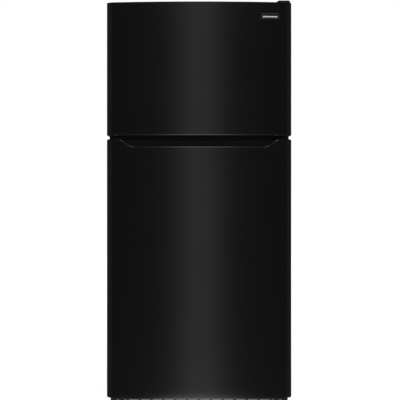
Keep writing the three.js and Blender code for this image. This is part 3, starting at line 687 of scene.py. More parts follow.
badge_piece(
    "badge_border",
    251.5,
    330.5,
    1600.3,
    1624.5,
    0.3,
    1.5,
    0.9,
    satin_zinc,
    ("door_badge",),
)
badge_piece("badge_face", 252.7, 329.3, 1601.3, 1622.9, 1.4, 1.8, 0.2, black_abs)

pad_ink, tree = material("pad_printed_light_grey_ink")
place = add(tree, "ShaderNodeTexCoord")
# A printed film of ink is thinner in places, every 2 mm or so.
film = add(tree, "ShaderNodeTexNoise", [(place.outputs["Object"], "Vector")], Scale=500.0)
ink_tone = add(tree, "ShaderNodeValToRGB", [(film.outputs["Fac"], "Fac")])
ink_tone.color_ramp.elements[0].color = linear("a9abab")
ink_tone.color_ramp.elements[1].color = linear("c9cbcb")
ink = add(tree, "ShaderNodeBsdfPrincipled", [(ink_tone.outputs["Color"], "Base Color")], Roughness=0.5)
add(tree, "ShaderNodeOutputMaterial", [(ink.outputs[0], "Surface")])
badge_piece("badge_bar", 261, 321, 1606.5, 1611.5, 1.7, 2.0, 0.15, pad_ink)


# Cabinet wrapper
# One sheet of pre-painted steel folded over both sides and the top, with a flange turned in
# round the front. Its coat is embossed with a fine pebble, which hides scratches on the sides.
pebbled_steel, tree = material("steel_with_pebbled_black_coat")
place = add(tree, "ShaderNodeTexCoord")
# The embossed pebbles are about 1 mm; they are drawn 3 mm wide so that they show.
pebbles = add(tree, "ShaderNodeTexVoronoi", [(place.outputs["Object"], "Vector")], Scale=330.0)
emboss = add(
    tree,
    "ShaderNodeBump",
    [(pebbles.outputs["Distance"], "Height")],
    Strength=0.35,
    Distance=0.0004,
)
coat = add(
    tree,
    "ShaderNodeBsdfPrincipled",
    [(emboss.outputs["Normal"], "Normal")],
    Base_Color=linear("141514"),
    Roughness=0.4,
    IOR=1.5,
)
add(tree, "ShaderNodeOutputMaterial", [(coat.outputs[0], "Surface")])


CABINET_HALF = 381
CABINET_FOOT, CABINET_TOP = 24.5, 1660
FLANGE_SIDE, FLANGE_TOP = 49.6, 56.6
# The sheet is folded to an outside radius of 2 mm at the top corners and 3 mm at the front.
BEND = 2.0
FRONT_BEND = 3


def wrapper_loop(inset, y, top_inset=None):
    """The cabinet's outline seen from the front, from one foot over the top to the other."""
    half = CABINET_HALF - inset
    top = CABINET_TOP - (inset if top_inset is None else top_inset)
    radius = max(0.4, BEND - inset)
    loop = [(half, y, CABINET_FOOT + (top - 40) * i / 8) for i in range(9)]
    for i in range(7):
        a = math.radians(15 * i)
        loop.append((half - radius + radius * math.cos(a), y, top - radius + radius * math.sin(a)))
    loop += [(x, y, top) for x in (300, 200, 100, 0)]
    mirrored = [(-x, y, z) for x, y, z in reversed(loop[:-1])]
    return loop + mirrored


wrapper_rows = [wrapper_loop(FLANGE_SIDE, y, FLANGE_TOP) for y in (-279.9, -280.8)]
wrapper_rows.append(wrapper_loop(FRONT_BEND, -281))
for angle in (22.5, 45, 67.5, 90):
    a = math.radians(angle)
    inset = FRONT_BEND * (1 - math.sin(a))
    wrapper_rows.append(wrapper_loop(inset, -278 - FRONT_BEND * math.cos(a)))
wrapper_rows += [wrapper_loop(0, y) for y in (-270, -100, 150, 370, 374.5)]
wrapper_rows += [wrapper_loop(0.4, 375.7), wrapper_loop(1.2, 376), wrapper_loop(1.3, 374)]
build(
    "cabinet_outer_sheet",
    wrapper_rows,
    pebbled_steel,
    "cabinet",
    ("cabinet_wrapper",),
)
soften("centre_rail", pebbled_steel, 0.5)


# Screws and rivets
# Zinc-plated pan-head screws with a six-lobed recess hold the hinges, covers and panels.
plated_steel, tree = material("zinc_plated_steel")
place = add(tree, "ShaderNodeTexCoord")
# Zinc crystals of 4 mm and more shift the gloss from patch to patch.
spangle = add(tree, "ShaderNodeTexVoronoi", [(place.outputs["Object"], "Vector")], Scale=160.0)
patch = add(tree, "ShaderNodeMapRange", [(spangle.outputs["Color"], "Value")], To_Min=0.32, To_Max=0.5)
plated = add(
    tree,
    "ShaderNodeBsdfPrincipled",
    [(patch.outputs["Result"], "Roughness")],
    Base_Color=linear("b9bcbd"),
    Metallic=1.0,
)
add(tree, "ShaderNodeOutputMaterial", [(plated.outputs[0], "Surface")])


def screws(name, places, way, surface=plated_steel, radius=4.5):
    """Pan-head screws in the cabinet at (x, y, z); way 1 points the heads to the back, -1 forwards."""
    head = [(1, 0), (1, 0.35), (0.92, 0.55), (0.7, 0.7), (0.42, 0.75), (0.38, 0.7), (0.3, 0.3)]
    for count, (x, y, z) in enumerate(places):
        levels = []
        for wide, tall in head:
            r = radius * wide
            levels.append((x - r, x + r, z - r, z + r, r * 0.999, y + way * tall * radius * 0.6))
        stack(f"{name}_{count + 1}", levels, surface, "cabinet", steps=3, angle=50)


# Hinges
# Stamped steel brackets screwed to the cabinet. The doors hang and turn on their pins: one at the
# top, a double one between the doors, and one at the foot.
soften("top_hinge", plated_steel, 0.8)
dark_plate, tree = material("steel_with_black_oxide")
place = add(tree, "ShaderNodeTexCoord")
# The oxide bath leaves soft clouds about 20 mm across.
cloud = add(tree, "ShaderNodeTexNoise", [(place.outputs["Object"], "Vector")], Scale=50.0, Detail=3.0)
haze = add(tree, "ShaderNodeMapRange", [(cloud.outputs["Fac"], "Value")], To_Min=0.36, To_Max=0.52)
oxide = add(
    tree,
    "ShaderNodeBsdfPrincipled",
    [(haze.outputs["Result"], "Roughness")],
    Base_Color=linear("17181a"),
    IOR=1.5,
)
add(tree, "ShaderNodeOutputMaterial", [(oxide.outputs[0], "Surface")])
soften("centre_hinge", dark_plate, 0.8)
soften("bottom_hinge", dark_plate, 0.8)
places = [(336, -284.6, 50), (361, -284.6, 50), (348, -284.6, 68)]
screws("bottom_hinge_screw", places, -1, dark_plate)
places = [(327, -284.6, 1120.5), (359, -284.6, 1120.5)]
screws("centre_hinge_screw", places, -1, dark_plate, radius=2.6)
soften("top_hinge_cover", black_abs, 1.4, segments=3)


# Toe grille
# A moulded ABS strip with two rows of air slots, clipped to the base under the doors.
soften("toe_grille", black_abs, 0.6)


# Cabinet liners
# Each storage space is one deep vacuum-formed ABS tub. The draw leaves round inner corners, and
# ribs formed in the side walls carry the shelves.
def tub(name, node, x, z0, z1, back, corner):
    """A tub from its flange over the mouth's round edge to the back wall; x is its half width."""
    levels = [
        (-x - 2.4, x + 2.4, z0 - 2.4, z1 + 2.4, 10, -279),
        (-x - 2.4, x + 2.4, z0 - 2.4, z1 + 2.4, 10, -280.6),
        (-x - 1.6, x + 1.6, z0 - 1.6, z1 + 1.6, 12, -281),
        (-x - 0.3, x + 0.3, z0 - 0.3, z1 + 0.3, 14, -280.4),
        (-x + 0.3, x - 0.3, z0 + 0.3, z1 - 0.3, corner - 6, -277),
        (-x + 0.5, x - 0.5, z0 + 0.5, z1 - 0.5, corner, -200),
        (-x + 0.5, x - 0.5, z0 + 0.5, z1 - 0.5, corner, back - 20),
    ]
    for angle in (20, 40, 60, 80, 90):
        a = math.radians(angle)
        d = 0.5 + 18 * (1 - math.cos(a))
        depth = back - 20 + 19 * math.sin(a)
        levels.append((-x + d, x - d, z0 + d, z1 - d, max(2, corner - d * 0.7), depth))
    stack(name, levels, white_abs, "cabinet", (node,), caps=(False, True), steps=6)


def wall_ribs(name, heights, back):
    """A rib on each side wall just under each height."""
    places = [(z, side) for z in heights for side in (-1, 1)]
    for count, (z, side) in enumerate(places):
        x0, x1 = sorted((side * 320.5, side * 328))
        levels = [
            (x0, x1, -179, back - 1, 3, z - 8),
            (x0, x1, -179, back - 1, 3, z - 1.2),
            (x0 + 0.8, x1 - 0.8, -178, back - 2, 2.4, z - 0.4),
        ]
        stack(f"{name}_{count + 1}", levels, white_abs, "cabinet", axis="z", steps=4)


UPPER_SHELF, LOWER_SHELF = 815, 560
tub("freezer_tub", "freezer_liner", 328, 1150, 1600, 328, 22)
tub("fresh_food_tub", "fresh_food_liner", 328, 110, 1080, 328, 22)
wall_ribs("freezer_wall_rib", (1370,), 240)
wall_ribs("fresh_food_wall_rib", (UPPER_SHELF, LOWER_SHELF), 300)
wall_ribs("crisper_wall_rib", (300,), 150)

# The step at the foot of the back wall clears the machine compartment behind it.
step_section = [(139, 110.5), (143, 150), (155, 262)]
for angle in range(0, 91, 15):
    a = math.radians(angle)
    step_section.append((176 - 18 * math.cos(a), 271 + 18 * math.sin(a)))
step_section += [(200, 290), (327.4, 292.5)]
build(
    "fresh_food_back_step",
    [[(x, y, z) for y, z in step_section] for x in (-327.4, -160, 0, 160, 327.4)],
    white_abs,
    "cabinet",
)

# A small moulded boss on the ceiling guides the plunger of the light switch.
boss = [
    (-251, -229, -240, -214, 3, 1052.5),
    (-251, -229, -240, -214, 3, 1072),
    (-254, -226, -243, -211, 4, 1079.5),
]
stack("light_switch_boss", boss, white_abs, "cabinet", axis="z", steps=4)


# Fixed glass shelves
# A pane of tempered soda-lime glass in a moulded white frame. The thick front rail stops spills
# and the frame drops on to the ribs of the liner.
# Soda-lime glass is clear and sharp in its reflections, with a faint green body colour.
shelf_pane, tree = material("tempered_soda_lime_glass")
pane = add(
    tree,
    "ShaderNodeBsdfPrincipled",
    Base_Color=linear("e6f1ee"),
    Roughness=0.02,
    IOR=1.52,
    Transmission_Weight=1.0,
)
add(tree, "ShaderNodeOutputMaterial", [(pane.outputs[0], "Surface")])


def glass_shelf(name, node, z, back, rail_low=0, rail_high=12):
    """A pane with a rail at the front and back and a rim at each side."""
    pane_levels = [
        (-322, 322, -184, back - 6, 4, z + 2.4),
        (-322, 322, -184, back - 6, 4, z + 6.4),
    ]
    stack(name + "_pane", pane_levels, shelf_pane, "cabinet", (node,), axis="z", steps=3)
    for label, y0, y1 in (("front_rail", -190, -178), ("back_rail", back - 12, back)):
        rail = [
            (y0 + 0.2, y1 - 0.2, z + rail_low, z + rail_high, 3, -327.2),
            (y0, y1, z + rail_low, z + rail_high, 3.4, -326),
            (y0, y1, z + rail_low, z + rail_high, 3.4, 326),
            (y0 + 0.2, y1 - 0.2, z + rail_low, z + rail_high, 3, 327.2),
        ]
        stack(f"{name}_{label}", rail, white_abs, "cabinet", axis="x", steps=4)
    for side in (-1, 1):
        x0, x1 = sorted((side * 316, side * 327.2))
        rim = [
            (x0, x1, -180, back - 10, 2, z + 0.2),
            (x0, x1, -180, back - 10, 2, z + 8),
            (x0 + 1, x1 - 1, -180, back - 10, 1.5, z + 9),
        ]
        label = "left" if side < 0 else "right"
        stack(f"{name}_{label}_rim", rim, white_abs, "cabinet", axis="z", steps=3)


glass_shelf("upper_glass_shelf", "upper_shelf", UPPER_SHELF, 318)
glass_shelf("lower_glass_shelf", "lower_shelf", LOWER_SHELF, 318)
glass_shelf("crisper_glass_cover", "crisper_cover", 298.8, 286, rail_low=-5.6, rail_high=6)


# Freezer shelf
# A moulded grid of bars, so that cold air can fall past the food.
soften("freezer_shelf", white_abs, 1.0)


# Crisper drawers and door bins
# Injection-moulded clear polystyrene trays with draft, round corners and a rolled rim.
clear_styrene, tree = material("injection_moulded_clear_polystyrene")
place = add(tree, "ShaderNodeTexCoord")
# Mould flow leaves ripples about 25 mm apart.
flow = add(tree, "ShaderNodeTexNoise", [(place.outputs["Object"], "Vector")], Scale=40.0, Detail=1.0)
ripple = add(tree, "ShaderNodeBump", [(flow.outputs["Fac"], "Height")], Strength=0.08, Distance=0.0006)
styrene = add(
    tree,
    "ShaderNodeBsdfPrincipled",
    [(ripple.outputs["Normal"], "Normal")],
    Base_Color=linear("e9eef0"),
    Roughness=0.07,
    IOR=1.3,
    Transmission_Weight=0.9,
)
add(tree, "ShaderNodeOutputMaterial", [(styrene.outputs[0], "Surface")])


def tray(name, box, body, surface, replaces, draft=4, wall=2.5, corner=14, rim=4):
    """An open tray: up the drafted outside, over the rolled rim and down the inside to the floor."""
    x0, x1, y0, y1, z0, z1 = box
    top = z1 - z0
    outer = [
        (draft + 4, 0, corner - 4),
        (draft + 0.8, 1.2, corner - 1),
        (draft, 4, corner),
        (rim * 0.5, top - 9, corner),
        (rim * 0.5, top - 6, corner),
        (0, top - 4, corner + 1),
        (0, top - 1, corner + 1),
        (0.8, top, corner),
    ]
    inner = [
        (rim + wall - 1, top, corner - 3),
        (rim + wall, top - 1.2, corner - 3),
        (draft + wall + 0.5, 8, corner - 3),
        (draft + wall + 2, wall + 1.5, corner - 5),
        (draft + wall + 6, wall, corner - 8),
    ]
    levels = [(x0 + d, x1 - d, y0 + d, y1 - d, max(1.5, r), z0 + h) for d, h, r in outer + inner]
    stack(name, levels, surface, body, replaces, axis="z", steps=6)


for side, x0, x1 in (("left", -322, -3), ("right", 3, 322)):
    drawer = side + "_crisper"
    tray(drawer + "_tray", (x0, x1, -140, 130, 111, 290), drawer, clear_styrene, (drawer,))
    pull = [
        (x0 + 31, x1 - 31, -148, -139, 3, 257),
        (x0 + 30, x1 - 30, -148, -139, 4, 258),
        (x0 + 30, x1 - 30, -148, -139, 4, 270),
        (x0 + 31, x1 - 31, -147, -139, 3, 271),
    ]
    stack(drawer + "_grip", pull, white_abs, drawer, axis="z", steps=4)

# The front of each bin carries a white band under its rim.
BIN_PLAN = (-283, 283, -294, -205)
for name, z0, z1 in (("door_bin_lower", 170, 290), ("door_bin_upper", 560, 670)):
    box = BIN_PLAN + (z0, z1)
    tray(name + "_tray", box, "fresh_door", clear_styrene, (name,), draft=2, corner=12)
    band = [
        (-281, 281, -208.4, -205.2, 1.2, z1 - 22),
        (-281, 281, -208.6, -205, 1.4, z1 - 21),
        (-281, 281, -208.6, -205, 1.4, z1 - 3),
        (-281, 281, -208.4, -205.2, 1.2, z1 - 2),
    ]
    stack(name + "_band", band, white_abs, "fresh_door", axis="z", steps=3)

# The freezer door's racks are moulded in white and carry no band.
for name, z0, z1 in (("freezer_door_lower_rack", 1200, 1270), ("freezer_door_upper_rack", 1390, 1460)):
    box = BIN_PLAN + (z0, z1)
    tray(name + "_tray", box, "freezer_door", white_abs, (name,), draft=2, corner=12)


# Back and base
# Galvanised sheet closes the foam at the back, stiffened by long pressed beads, and is screwed on
# round its edge. The base frame is folded from thicker sheet and takes the weight.
soften("back_panel", plated_steel, 0.3)
for count, x in enumerate((-285, -95, 95, 285)):
    name = f"back_panel_bead_{count + 1}"
    bead = [
        (x - 9, x + 9, 330, 1580, 8.9, 375.7),
        (x - 8, x + 8, 331, 1579, 7.9, 376.3),
        (x - 5.5, x + 5.5, 334, 1576, 5.4, 377),
        (x - 2, x + 2, 337, 1573, 1.9, 377.3),
    ]
    stack(name, bead, plated_steel, "cabinet", caps=(False, True))
edge_screws = [(side * 370, 375.8, 290 + 190 * i) for side in (-1, 1) for i in range(8)]
edge_screws += [(x, 375.8, 1648) for x in (-240, -80, 80, 240)]
screws("back_panel_screw", edge_screws, 1, radius=3.6)
dress(["machine_compartment_panel"], plated_steel)
soften("base_frame", plated_steel, 0.4)


# Evaporator cover and coil
# A flat ABS cover with air slots hides the cold coil: aluminium fins pressed on an aluminium tube
# that runs to and fro, with a U-bend at the end of each run.
soften("evaporator_cover", white_abs, 0.5)
places = [(x, 258, z) for x in (-300, 300) for z in (1200, 1560)]
screws("evaporator_cover_screw", places, -1, radius=3.6)
mill_aluminium, tree = material("rolled_aluminium")
place = add(tree, "ShaderNodeTexCoord")
# Rolling lines are 0.1 mm apart, drawn 1 mm apart so that they show.
along = add(tree, "ShaderNodeMapping", [(place.outputs["Object"], "Vector")], Scale=(40, 40, 1000))
roll = add(tree, "ShaderNodeTexNoise", [(along.outputs["Vector"], "Vector")], Scale=1.0, Detail=2.0)
dull = add(tree, "ShaderNodeMapRange", [(roll.outputs["Fac"], "Value")], To_Min=0.28, To_Max=0.46)
aluminium = add(
    tree,
    "ShaderNodeBsdfPrincipled",
    [(dull.outputs["Result"], "Roughness")],
    Base_Color=linear("cfd1d2"),
    Metallic=1.0,
)
add(tree, "ShaderNodeOutputMaterial", [(aluminium.outputs[0], "Surface")])


def tube(name, points, radius, surface, body, replaces=(), sides=12):
    """A round tube along smooth points in mm, closed at both ends."""
    path = [Vector(p) for p in points]
    rows = []
    side = None
    for i, p in enumerate(path):
        ahead = (path[min(i + 1, len(path) - 1)] - path[max(i - 1, 0)]).normalized()
        if side is None:
            side = ahead.orthogonal().normalized()
        side = (side - ahead * side.dot(ahead)).normalized()
        other = ahead.cross(side)
        turns = [2 * math.pi * k / sides for k in range(sides)]
        rows.append([p + radius * (side * math.cos(t) + other * math.sin(t)) for t in turns])
    build(name, rows, surface, body, replaces, closed=True, caps=(True, True), angle=50)


def coil(name, node, box, fins, columns, rows, surface, radius=3.6):
    """Thin fins across a tube that runs to and fro through every row and column."""
    x0, x1, y0, y1, z0, z1 = box
    runs = []
    for row in range(rows):
        order = range(columns) if row % 2 == 0 else reversed(range(columns))
        z = z0 + (z1 - z0) * (row + 0.5) / rows
        runs += [(y0 + (y1 - y0) * (c + 0.5) / columns, z) for c in order]
    line = []
    for i, (y, z) in enumerate(runs):
        ends = (x0 - 3, x1 + 3) if i % 2 == 0 else (x1 + 3, x0 - 3)
        line += [(ends[0] + (ends[1] - ends[0]) * k / 8, y, z) for k in range(9)]
        if i + 1 < len(runs):
            y2, z2 = runs[i + 1]
            way = 1 if ends[1] > ends[0] else -1
            for k in range(1, 8):
                a = math.pi * k / 8
                share = (1 - math.cos(a)) / 2
                line.append((ends[1] + way * 6 * math.sin(a), y + (y2 - y) * share, z + (z2 - z) * share))
    tube(name + "_tube", line, radius, surface, "cabinet", (node,), sides=8)
    blank = bpy.data.meshes.new(name + "_fins")
    solid = bmesh.new()
    for i in range(fins):
        x = x0 + (x1 - x0) * i / (fins - 1)
        outline = ((y0, z0), (y1, z0), (y1, z1), (y0, z1))
        corners = [(x + t, y, z) for t in (-0.2, 0.2) for y, z in outline]
        made = [solid.verts.new([c * MM for c in corner]) for corner in corners]
        solid.faces.new([made[k] for k in (3, 2, 1, 0)])
        solid.faces.new([made[k] for k in (4, 5, 6, 7)])
        for k in range(4):
            j = (k + 1) % 4
            solid.faces.new((made[k], made[j], made[j + 4], made[k + 4]))
    bmesh.ops.recalc_face_normals(solid, faces=solid.faces)
    solid.to_mesh(blank)
    solid.free()
    blank.materials.append(surface)
    block = bpy.data.objects.new(name + "_fins", blank)
    scene.collection.objects.link(block)
    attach(block, "cabinet")


evaporator_box = (-230, 230, 281, 319, 1201, 1329)
coil("evaporator", "evaporator_coil", evaporator_box, 70, 2, 4, mill_aluminium)


# Fans
# Moulded rotors with five swept, twisted blades on a hub, driven by small shaded-pole motors.
def fan(name, node, centre, axis, radius, surface):
    """A hub and five blades in one piece, turned to face along an axis."""
    mesh = bpy.data.meshes.new(name)
    solid = bmesh.new()

    def point(r, turn, depth):
        """A corner of the rotor, from its radius, its turn about the axis and its depth along it."""
        u, v = r * math.cos(turn), r * math.sin(turn)
        local = {"y": (u, depth, v), "x": (depth, u, v)}[axis]
        return solid.verts.new([(c + d) * MM for c, d in zip(centre, local)])

    def skin(rows):
        """Faces between closed rings of corners."""
        for low, high in zip(rows, rows[1:]):
            for i in range(len(low)):
                j = (i + 1) % len(low)
                solid.faces.new((low[i], low[j], high[j], high[i]))

    blades, root, arch, half_thick, reach = 5, 12.5, 2.2, 0.9, 8.1
    hub = [(3.6, -8.8), (12, -8.8), (13.6, -7.2), (14, -5), (14, 7), (13, 8.8), (3.6, 8.8), (3.6, -8.8)]
    skin([[point(r, 2 * math.pi * k / 32, d) for k in range(32)] for r, d in hub])
    for blade in range(blades):
        rows = []
        # Each blade sweeps forward, narrows and flattens from root to tip.
        for i in range(9):
            share = i / 8
            r = root + (radius - 0.2 - root) * share
            sweep = 2 * math.pi * blade / blades + 0.22 * share
            half = 0.36 * (1 - 0.18 * share) * (0.94 if i == 8 else 1)
            tilt = math.radians(38 - 14 * share)
            row = []
            for face in (1, -1):
                for k in range(9):
                    t = -1 + 2 * k / 8 if face > 0 else 1 - 2 * k / 8
                    camber = arch * (1 - t * t) - 1.2
                    thick = half_thick * math.sqrt(max(0.06, 1 - t * t)) * face
                    rise = t * math.sin(tilt) * reach
                    row.append(point(r, sweep + half * t, rise + camber + thick))
            rows.append(row)
        skin(rows)
        solid.faces.new(list(reversed(rows[0])))
        solid.faces.new(rows[-1])
    bmesh.ops.recalc_face_normals(solid, faces=solid.faces)
    solid.to_mesh(mesh)
    solid.free()
    mesh.shade_smooth()
    mesh.set_sharp_from_angle(angle=math.radians(40))
    mesh.materials.append(surface)
    rotor = bpy.data.objects.new(name, mesh)
    scene.collection.objects.link(rotor)
    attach(rotor, node)
    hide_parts(node)


fan("evaporator_fan_rotor", "evaporator_fan", (0, 276, 1480), "y", 56, white_abs)
fan("condenser_fan_rotor", "condenser_fan", (-65, 290, 140), "x", 64, black_abs)
soften("evaporator_fan_motor", dark_plate, 1.2)
soften("condenser_fan_motor", dark_plate, 0.8)


# Controls and light
# A moulded ABS housing on the ceiling holds the thermostat and the lamp. Its dial is numbered.
soften("control_housing", white_abs, 2.0, segments=3)


def turned(name, profile, centre, axis, surface, body, replaces=(), squash=1.0, sides=40, angle=40):
    """A shape turned from (radius, height) pairs about an axis; squash narrows it across."""
    rows = []
    for radius, height in profile:
        row = []
        for k in range(sides):
            t = 2 * math.pi * k / sides
            u, v = radius * math.cos(t), radius * squash * math.sin(t)
            offset = {"x": (height, u, v), "y": (u, height, v), "z": (u, v, height)}[axis]
            row.append([c + d for c, d in zip(centre, offset)])
        rows.append(row)
    build(name, rows, surface, body, replaces, closed=True, caps=(True, True), angle=angle)


KNOB_X, KNOB_Y, KNOB_Z = -100, -60, 1054
dial = [(3.1, 9.5), (3.1, -0.5), (15.4, -0.6), (16, -1.2), (16, -3)]
dial += [(15.2, -4.4), (14.6, -8), (14, -9.2), (12.6, -9.8), (0.5, -10)]
turned(
    "temperature_knob_dial",
    dial,
    (KNOB_X, KNOB_Y, KNOB_Z),
    "y",
    white_abs,
    "temperature_knob",
    ("temperature_knob",),
)
grip = [
    (-103.4, -96.6, 1040.5, 1067.5, 3.3, -69),
    (-103, -97, 1040.8, 1067.2, 2.9, -75.2),
    (-102.3, -97.7, 1041.5, 1066.5, 2.2, -76.6),
    (-101.2, -98.8, 1042.6, 1065.4, 1.1, -77),
]
stack("temperature_knob_grip", grip, white_abs, "temperature_knob")
mark = [(-100.5, -99.5, 1056, 1065, 0.4, -76.9), (-100.5, -99.5, 1056, 1065, 0.4, -77)]
stack("temperature_knob_mark", mark, black_abs, "temperature_knob")
# Numbers 1 to 7 stand round the dial, 45 degrees apart, on a circle that clears the knob.
NUMBER_CIRCLE = 20.2
for number in range(1, 8):
    turn = math.radians(-135 + 45 * (number - 1))
    number_x = KNOB_X + NUMBER_CIRCLE * math.sin(turn)
    number_z = KNOB_Z + NUMBER_CIRCLE * math.cos(turn)
    digit = bpy.data.curves.new(f"dial_number_{number}", "FONT")
    digit.body = str(number)
    digit.size = 0.006
    digit.align_x, digit.align_y = "CENTER", "CENTER"
    digit.extrude = 0.00008
    digit.materials.append(dark_plate)
    label = bpy.data.objects.new(f"dial_number_{number}", digit)
    label.location = (number_x * MM, (KNOB_Y - 0.1) * MM, number_z * MM)
    label.rotation_euler = (math.pi / 2, 0, 0)
    scene.collection.objects.link(label)
    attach(label, "cabinet")


# Lamp and lens. The bulb's glass is etched inside, so it looks evenly white; the lens is ribbed.
frosted_glass, tree = material("blown_frosted_glass")
place = add(tree, "ShaderNodeTexCoord")
# The inner etch varies over about 10 mm.
etch = add(tree, "ShaderNodeTexNoise", [(place.outputs["Object"], "Vector")], Scale=100.0)
etched = add(tree, "ShaderNodeMapRange", [(etch.outputs["Fac"], "Value")], To_Min=0.2, To_Max=0.32)
envelope = add(
    tree,
    "ShaderNodeBsdfPrincipled",
    [(etched.outputs["Result"], "Roughness")],
    Base_Color=linear("f4f3ee"),
    IOR=1.5,
)
add(tree, "ShaderNodeOutputMaterial", [(envelope.outputs[0], "Surface")])
glass = [(0.4, -19.4)]
for i in range(1, 15):
    a = math.radians(180 - 10 * i)
    glass.append((15 * math.sin(a), 19.5 * math.cos(a)))
glass += [(8.8, 21), (8.8, 24)]
lamp = (22, 60, 1056)
turned("light_bulb_glass", glass, lamp, "x", frosted_glass, "cabinet", ("light_bulb",))
screw_cap = [(8.6, 24)] + [(9.1 if i % 2 else 8.3, 25 + 1.6 * i) for i in range(12)]
screw_cap += [(6, 45.5), (2, 46.6)]
turned("light_bulb_cap", screw_cap, lamp, "x", mill_aluminium, "cabinet")
soften("light_lens", clear_styrene, 1.2)
for count in range(9):
    y = 28 + 8 * count
    rib = [(-46, 46, y - 2.4, y + 2.4, 2.2, 1027.2), (-45, 45, y - 1, y + 1, 0.9, 1026.2)]
    name = f"light_lens_rib_{count + 1}"
    stack(name, rib, clear_styrene, "cabinet", axis="z", steps=3)

button = [(4.1, 36), (4.1, -4), (3.8, -5.6), (2.8, -6.6), (0.5, -7)]
turned(
    "light_switch_plunger",
    button,
    (-240, -240, 1064),
    "y",
    white_abs,
    "light_switch_button",
    ("light_switch_button",),
)
for name in ("left_humidity_slide", "right_humidity_slide"):
    soften(name, white_abs, 0.8)


# Dairy compartment
# An ABS shelf and roof snap into the door liner; a clear flap swings up on moulded pins.
soften("dairy_compartment", white_abs, 1.0)
soften("dairy_door", clear_styrene, 0.7)


# Compressor
# Two deep-drawn steel shells welded round the middle and lacquered black, on a foot plate with
# rubber mounts. Tubes of lacquered copper join it to the coils.
black_lacquer, tree = material("drawn_steel_with_black_lacquer")
place = add(tree, "ShaderNodeTexCoord")
# Dipped lacquer runs in soft waves of about 12 mm.
sag = add(tree, "ShaderNodeTexNoise", [(place.outputs["Object"], "Vector")], Scale=80.0, Detail=2.0)
waves = add(tree, "ShaderNodeBump", [(sag.outputs["Fac"], "Height")], Strength=0.2, Distance=0.0006)
lacquer = add(
    tree,
    "ShaderNodeBsdfPrincipled",
    [(waves.outputs["Normal"], "Normal")],
    Base_Color=linear("0e0f10"),
    Roughness=0.28,
    IOR=1.5,
)
add(tree, "ShaderNodeOutputMaterial", [(lacquer.outputs[0], "Surface")])
shell = [(2, 50.5)]
for i in range(1, 9):
    a = math.radians(10 * i)
    shell.append((82 * math.sin(a), 112 - 62 * math.cos(a)))
shell += [(82, 118), (82, 136), (86, 137), (86, 142), (82, 143)]
for i in range(8, 0, -1):
    a = math.radians(10 * i)
    shell.append((82 * math.sin(a), 146 + 61.5 * math.cos(a)))
shell.append((2, 208))
turned(
    "compressor_shell",
    shell,
    (190, 290, 0),
    "z",
    black_lacquer,
    "cabinet",
    ("compressor",),
    squash=0.83,
    sides=64,
)
foot_plate = [
    (104, 276, 228, 352, 14, 44),
    (104, 276, 228, 352, 14, 46.4),
    (106, 274, 230, 350, 12, 47),
    (150, 230, 256, 324, 10, 49),
    (152, 228, 258, 322, 9, 62),
]
stack("compressor_foot_plate", foot_plate, black_lacquer, "cabinet", axis="z")
relay_cover = [
    (262, 280, 272, 308, 3, 106),
    (262, 284, 270, 310, 4, 108),
    (262, 284, 270, 310, 4, 150),
    (262, 280, 272, 308, 3, 152),
]
stack("compressor_relay_cover", relay_cover, black_abs, "cabinet", axis="z")
mount = [(9, 32.6), (10, 34), (8.4, 37), (10, 40), (8.6, 43), (8.6, 44.2), (4, 49.5), (3.8, 50.5), (1, 51)]
for count, (x, y) in enumerate(((118, 242), (262, 242), (118, 338), (262, 338))):
    name = f"compressor_rubber_mount_{count + 1}"
    turned(name, mount, (x, y, 0), "z", pvc, "cabinet", sides=24)


def smooth_route(stops, steps=8):
    """Points on a smooth curve through the stops."""
    ends = [stops[0]] + list(stops) + [stops[-1]]
    line = []
    for a, b, c, d in zip(ends, ends[1:], ends[2:], ends[3:]):
        for k in range(steps):
            t = k / steps
            point = []
            for p, q, r, s in zip(a, b, c, d):
                curve = (2 * p - 5 * q + 4 * r - s) * t * t + (3 * q - p - 3 * r + s) * t**3
                point.append(0.5 * (2 * q + (r - p) * t + curve))
            line.append(point)
    return line + [list(stops[-1])]


suction = [(214, 232, 146), (214, 222, 150), (240, 216, 176)]
suction += [(290, 226, 196), (330, 260, 205), (336, 300, 215)]
discharge = [(130, 262, 150), (104, 256, 158), (40, 250, 214)]
discharge += [(-60, 250, 228), (-104, 268, 214), (-118, 272, 190)]
tube("suction_tube", smooth_route(suction), 3.8, black_lacquer, "cabinet")
tube("discharge_tube", smooth_route(discharge), 2.6, black_lacquer, "cabinet")


# Condenser and drain pan
# Steel tube and fins, lacquered black, stand over a moulded pan that catches the defrost water.
condenser_box = (-294, -116, 237, 343, 62, 203)
coil("condenser", "condenser_coil", condenser_box, 34, 3, 3, black_lacquer)
for label, x0, x1 in (("left", -300, -298.6), ("right", -111.4, -110)):
    plate = [(x0, x1, 236, 344, 0.6, z) for z in (32.4, 206)]
    stack(f"condenser_{label}_plate", plate, black_lacquer, "cabinet", axis="z")
tray(
    "defrost_pan",
    (-292, -118, 226, 364, 32.4, 54),
    "cabinet",
    black_abs,
    ("drain_pan",),
    draft=2,
    wall=2,
    corner=8,
    rim=2,
)


# Rear cover
# Pressed fibreboard with air slots closes the machine compartment; two pads keep it off the wall.
fibre_board, tree = material("pressed_fibreboard")
place = add(tree, "ShaderNodeTexCoord")
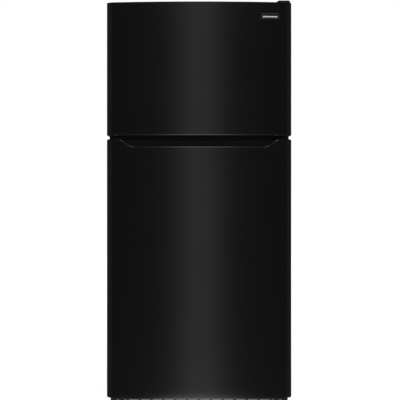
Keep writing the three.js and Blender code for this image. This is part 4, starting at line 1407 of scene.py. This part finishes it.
# Fibres are 3 mm long and very fine; the felt they make is drawn 4 mm wide so that it shows.
felt = add(tree, "ShaderNodeTexNoise", [(place.outputs["Object"], "Vector")], Scale=250.0, Detail=6.0)
felt_tone = add(tree, "ShaderNodeValToRGB", [(felt.outputs["Fac"], "Fac")])
felt_tone.color_ramp.elements[0].color = linear("57544c")
felt_tone.color_ramp.elements[1].color = linear("7a766b")
felt_bump = add(tree, "ShaderNodeBump", [(felt.outputs["Fac"], "Height")], Strength=0.3, Distance=0.0003)
board = add(
    tree,
    "ShaderNodeBsdfPrincipled",
    [(felt_tone.outputs["Color"], "Base Color"), (felt_bump.outputs["Normal"], "Normal")],
    Roughness=0.85,
)
add(tree, "ShaderNodeOutputMaterial", [(board.outputs[0], "Surface")])
soften("rear_cover", fibre_board, 0.4)
cover_screws = [(x, 376.6, z) for x in (-365, -120, 120, 365) for z in (44, 240)]
screws("rear_cover_screw", cover_screws, 1, radius=3.8)
soften("power_inlet", black_abs, 0.7)


# Rollers and legs
# Moulded nylon rollers with a rounded tread turn on steel axles at the back. The front legs are
# plated screws with a hexagon collar and a moulded foot.
half_tread = [(4.6, -9), (9, -9), (10.5, -7.2), (15.5, -7), (17, -9), (18.8, -8.6), (19.8, -6), (20, -3)]
tread = half_tread + [(radius, -height) for radius, height in reversed(half_tread)]
collar = [(11.8, 30), (11.8, 39.4)]
thread = [(6, 7)] + [(6 if i % 2 else 5.2, 8.5 + i) for i in range(47)] + [(4.4, 56.8)]
foot = [(16.5, 0), (17.8, 0.8), (18, 2.2), (17.2, 4.4), (12, 6.6), (8.6, 8), (6.2, 8)]
for side, x in (("left", -330), ("right", 330)):
    wheel = side + "_rear_roller"
    turned(wheel + "_wheel", tread, (x, 330, 20), "x", black_abs, wheel, (wheel,), sides=48)
    leg = side + "_leveling_leg"
    stand = (x, -258, 0)
    turned(leg + "_collar", collar, stand, "z", plated_steel, leg, sides=6)
    turned(leg + "_thread", thread, stand, "z", plated_steel, leg, sides=24, angle=60)
    turned(leg + "_foot", foot, stand, "z", black_abs, leg, (leg,))
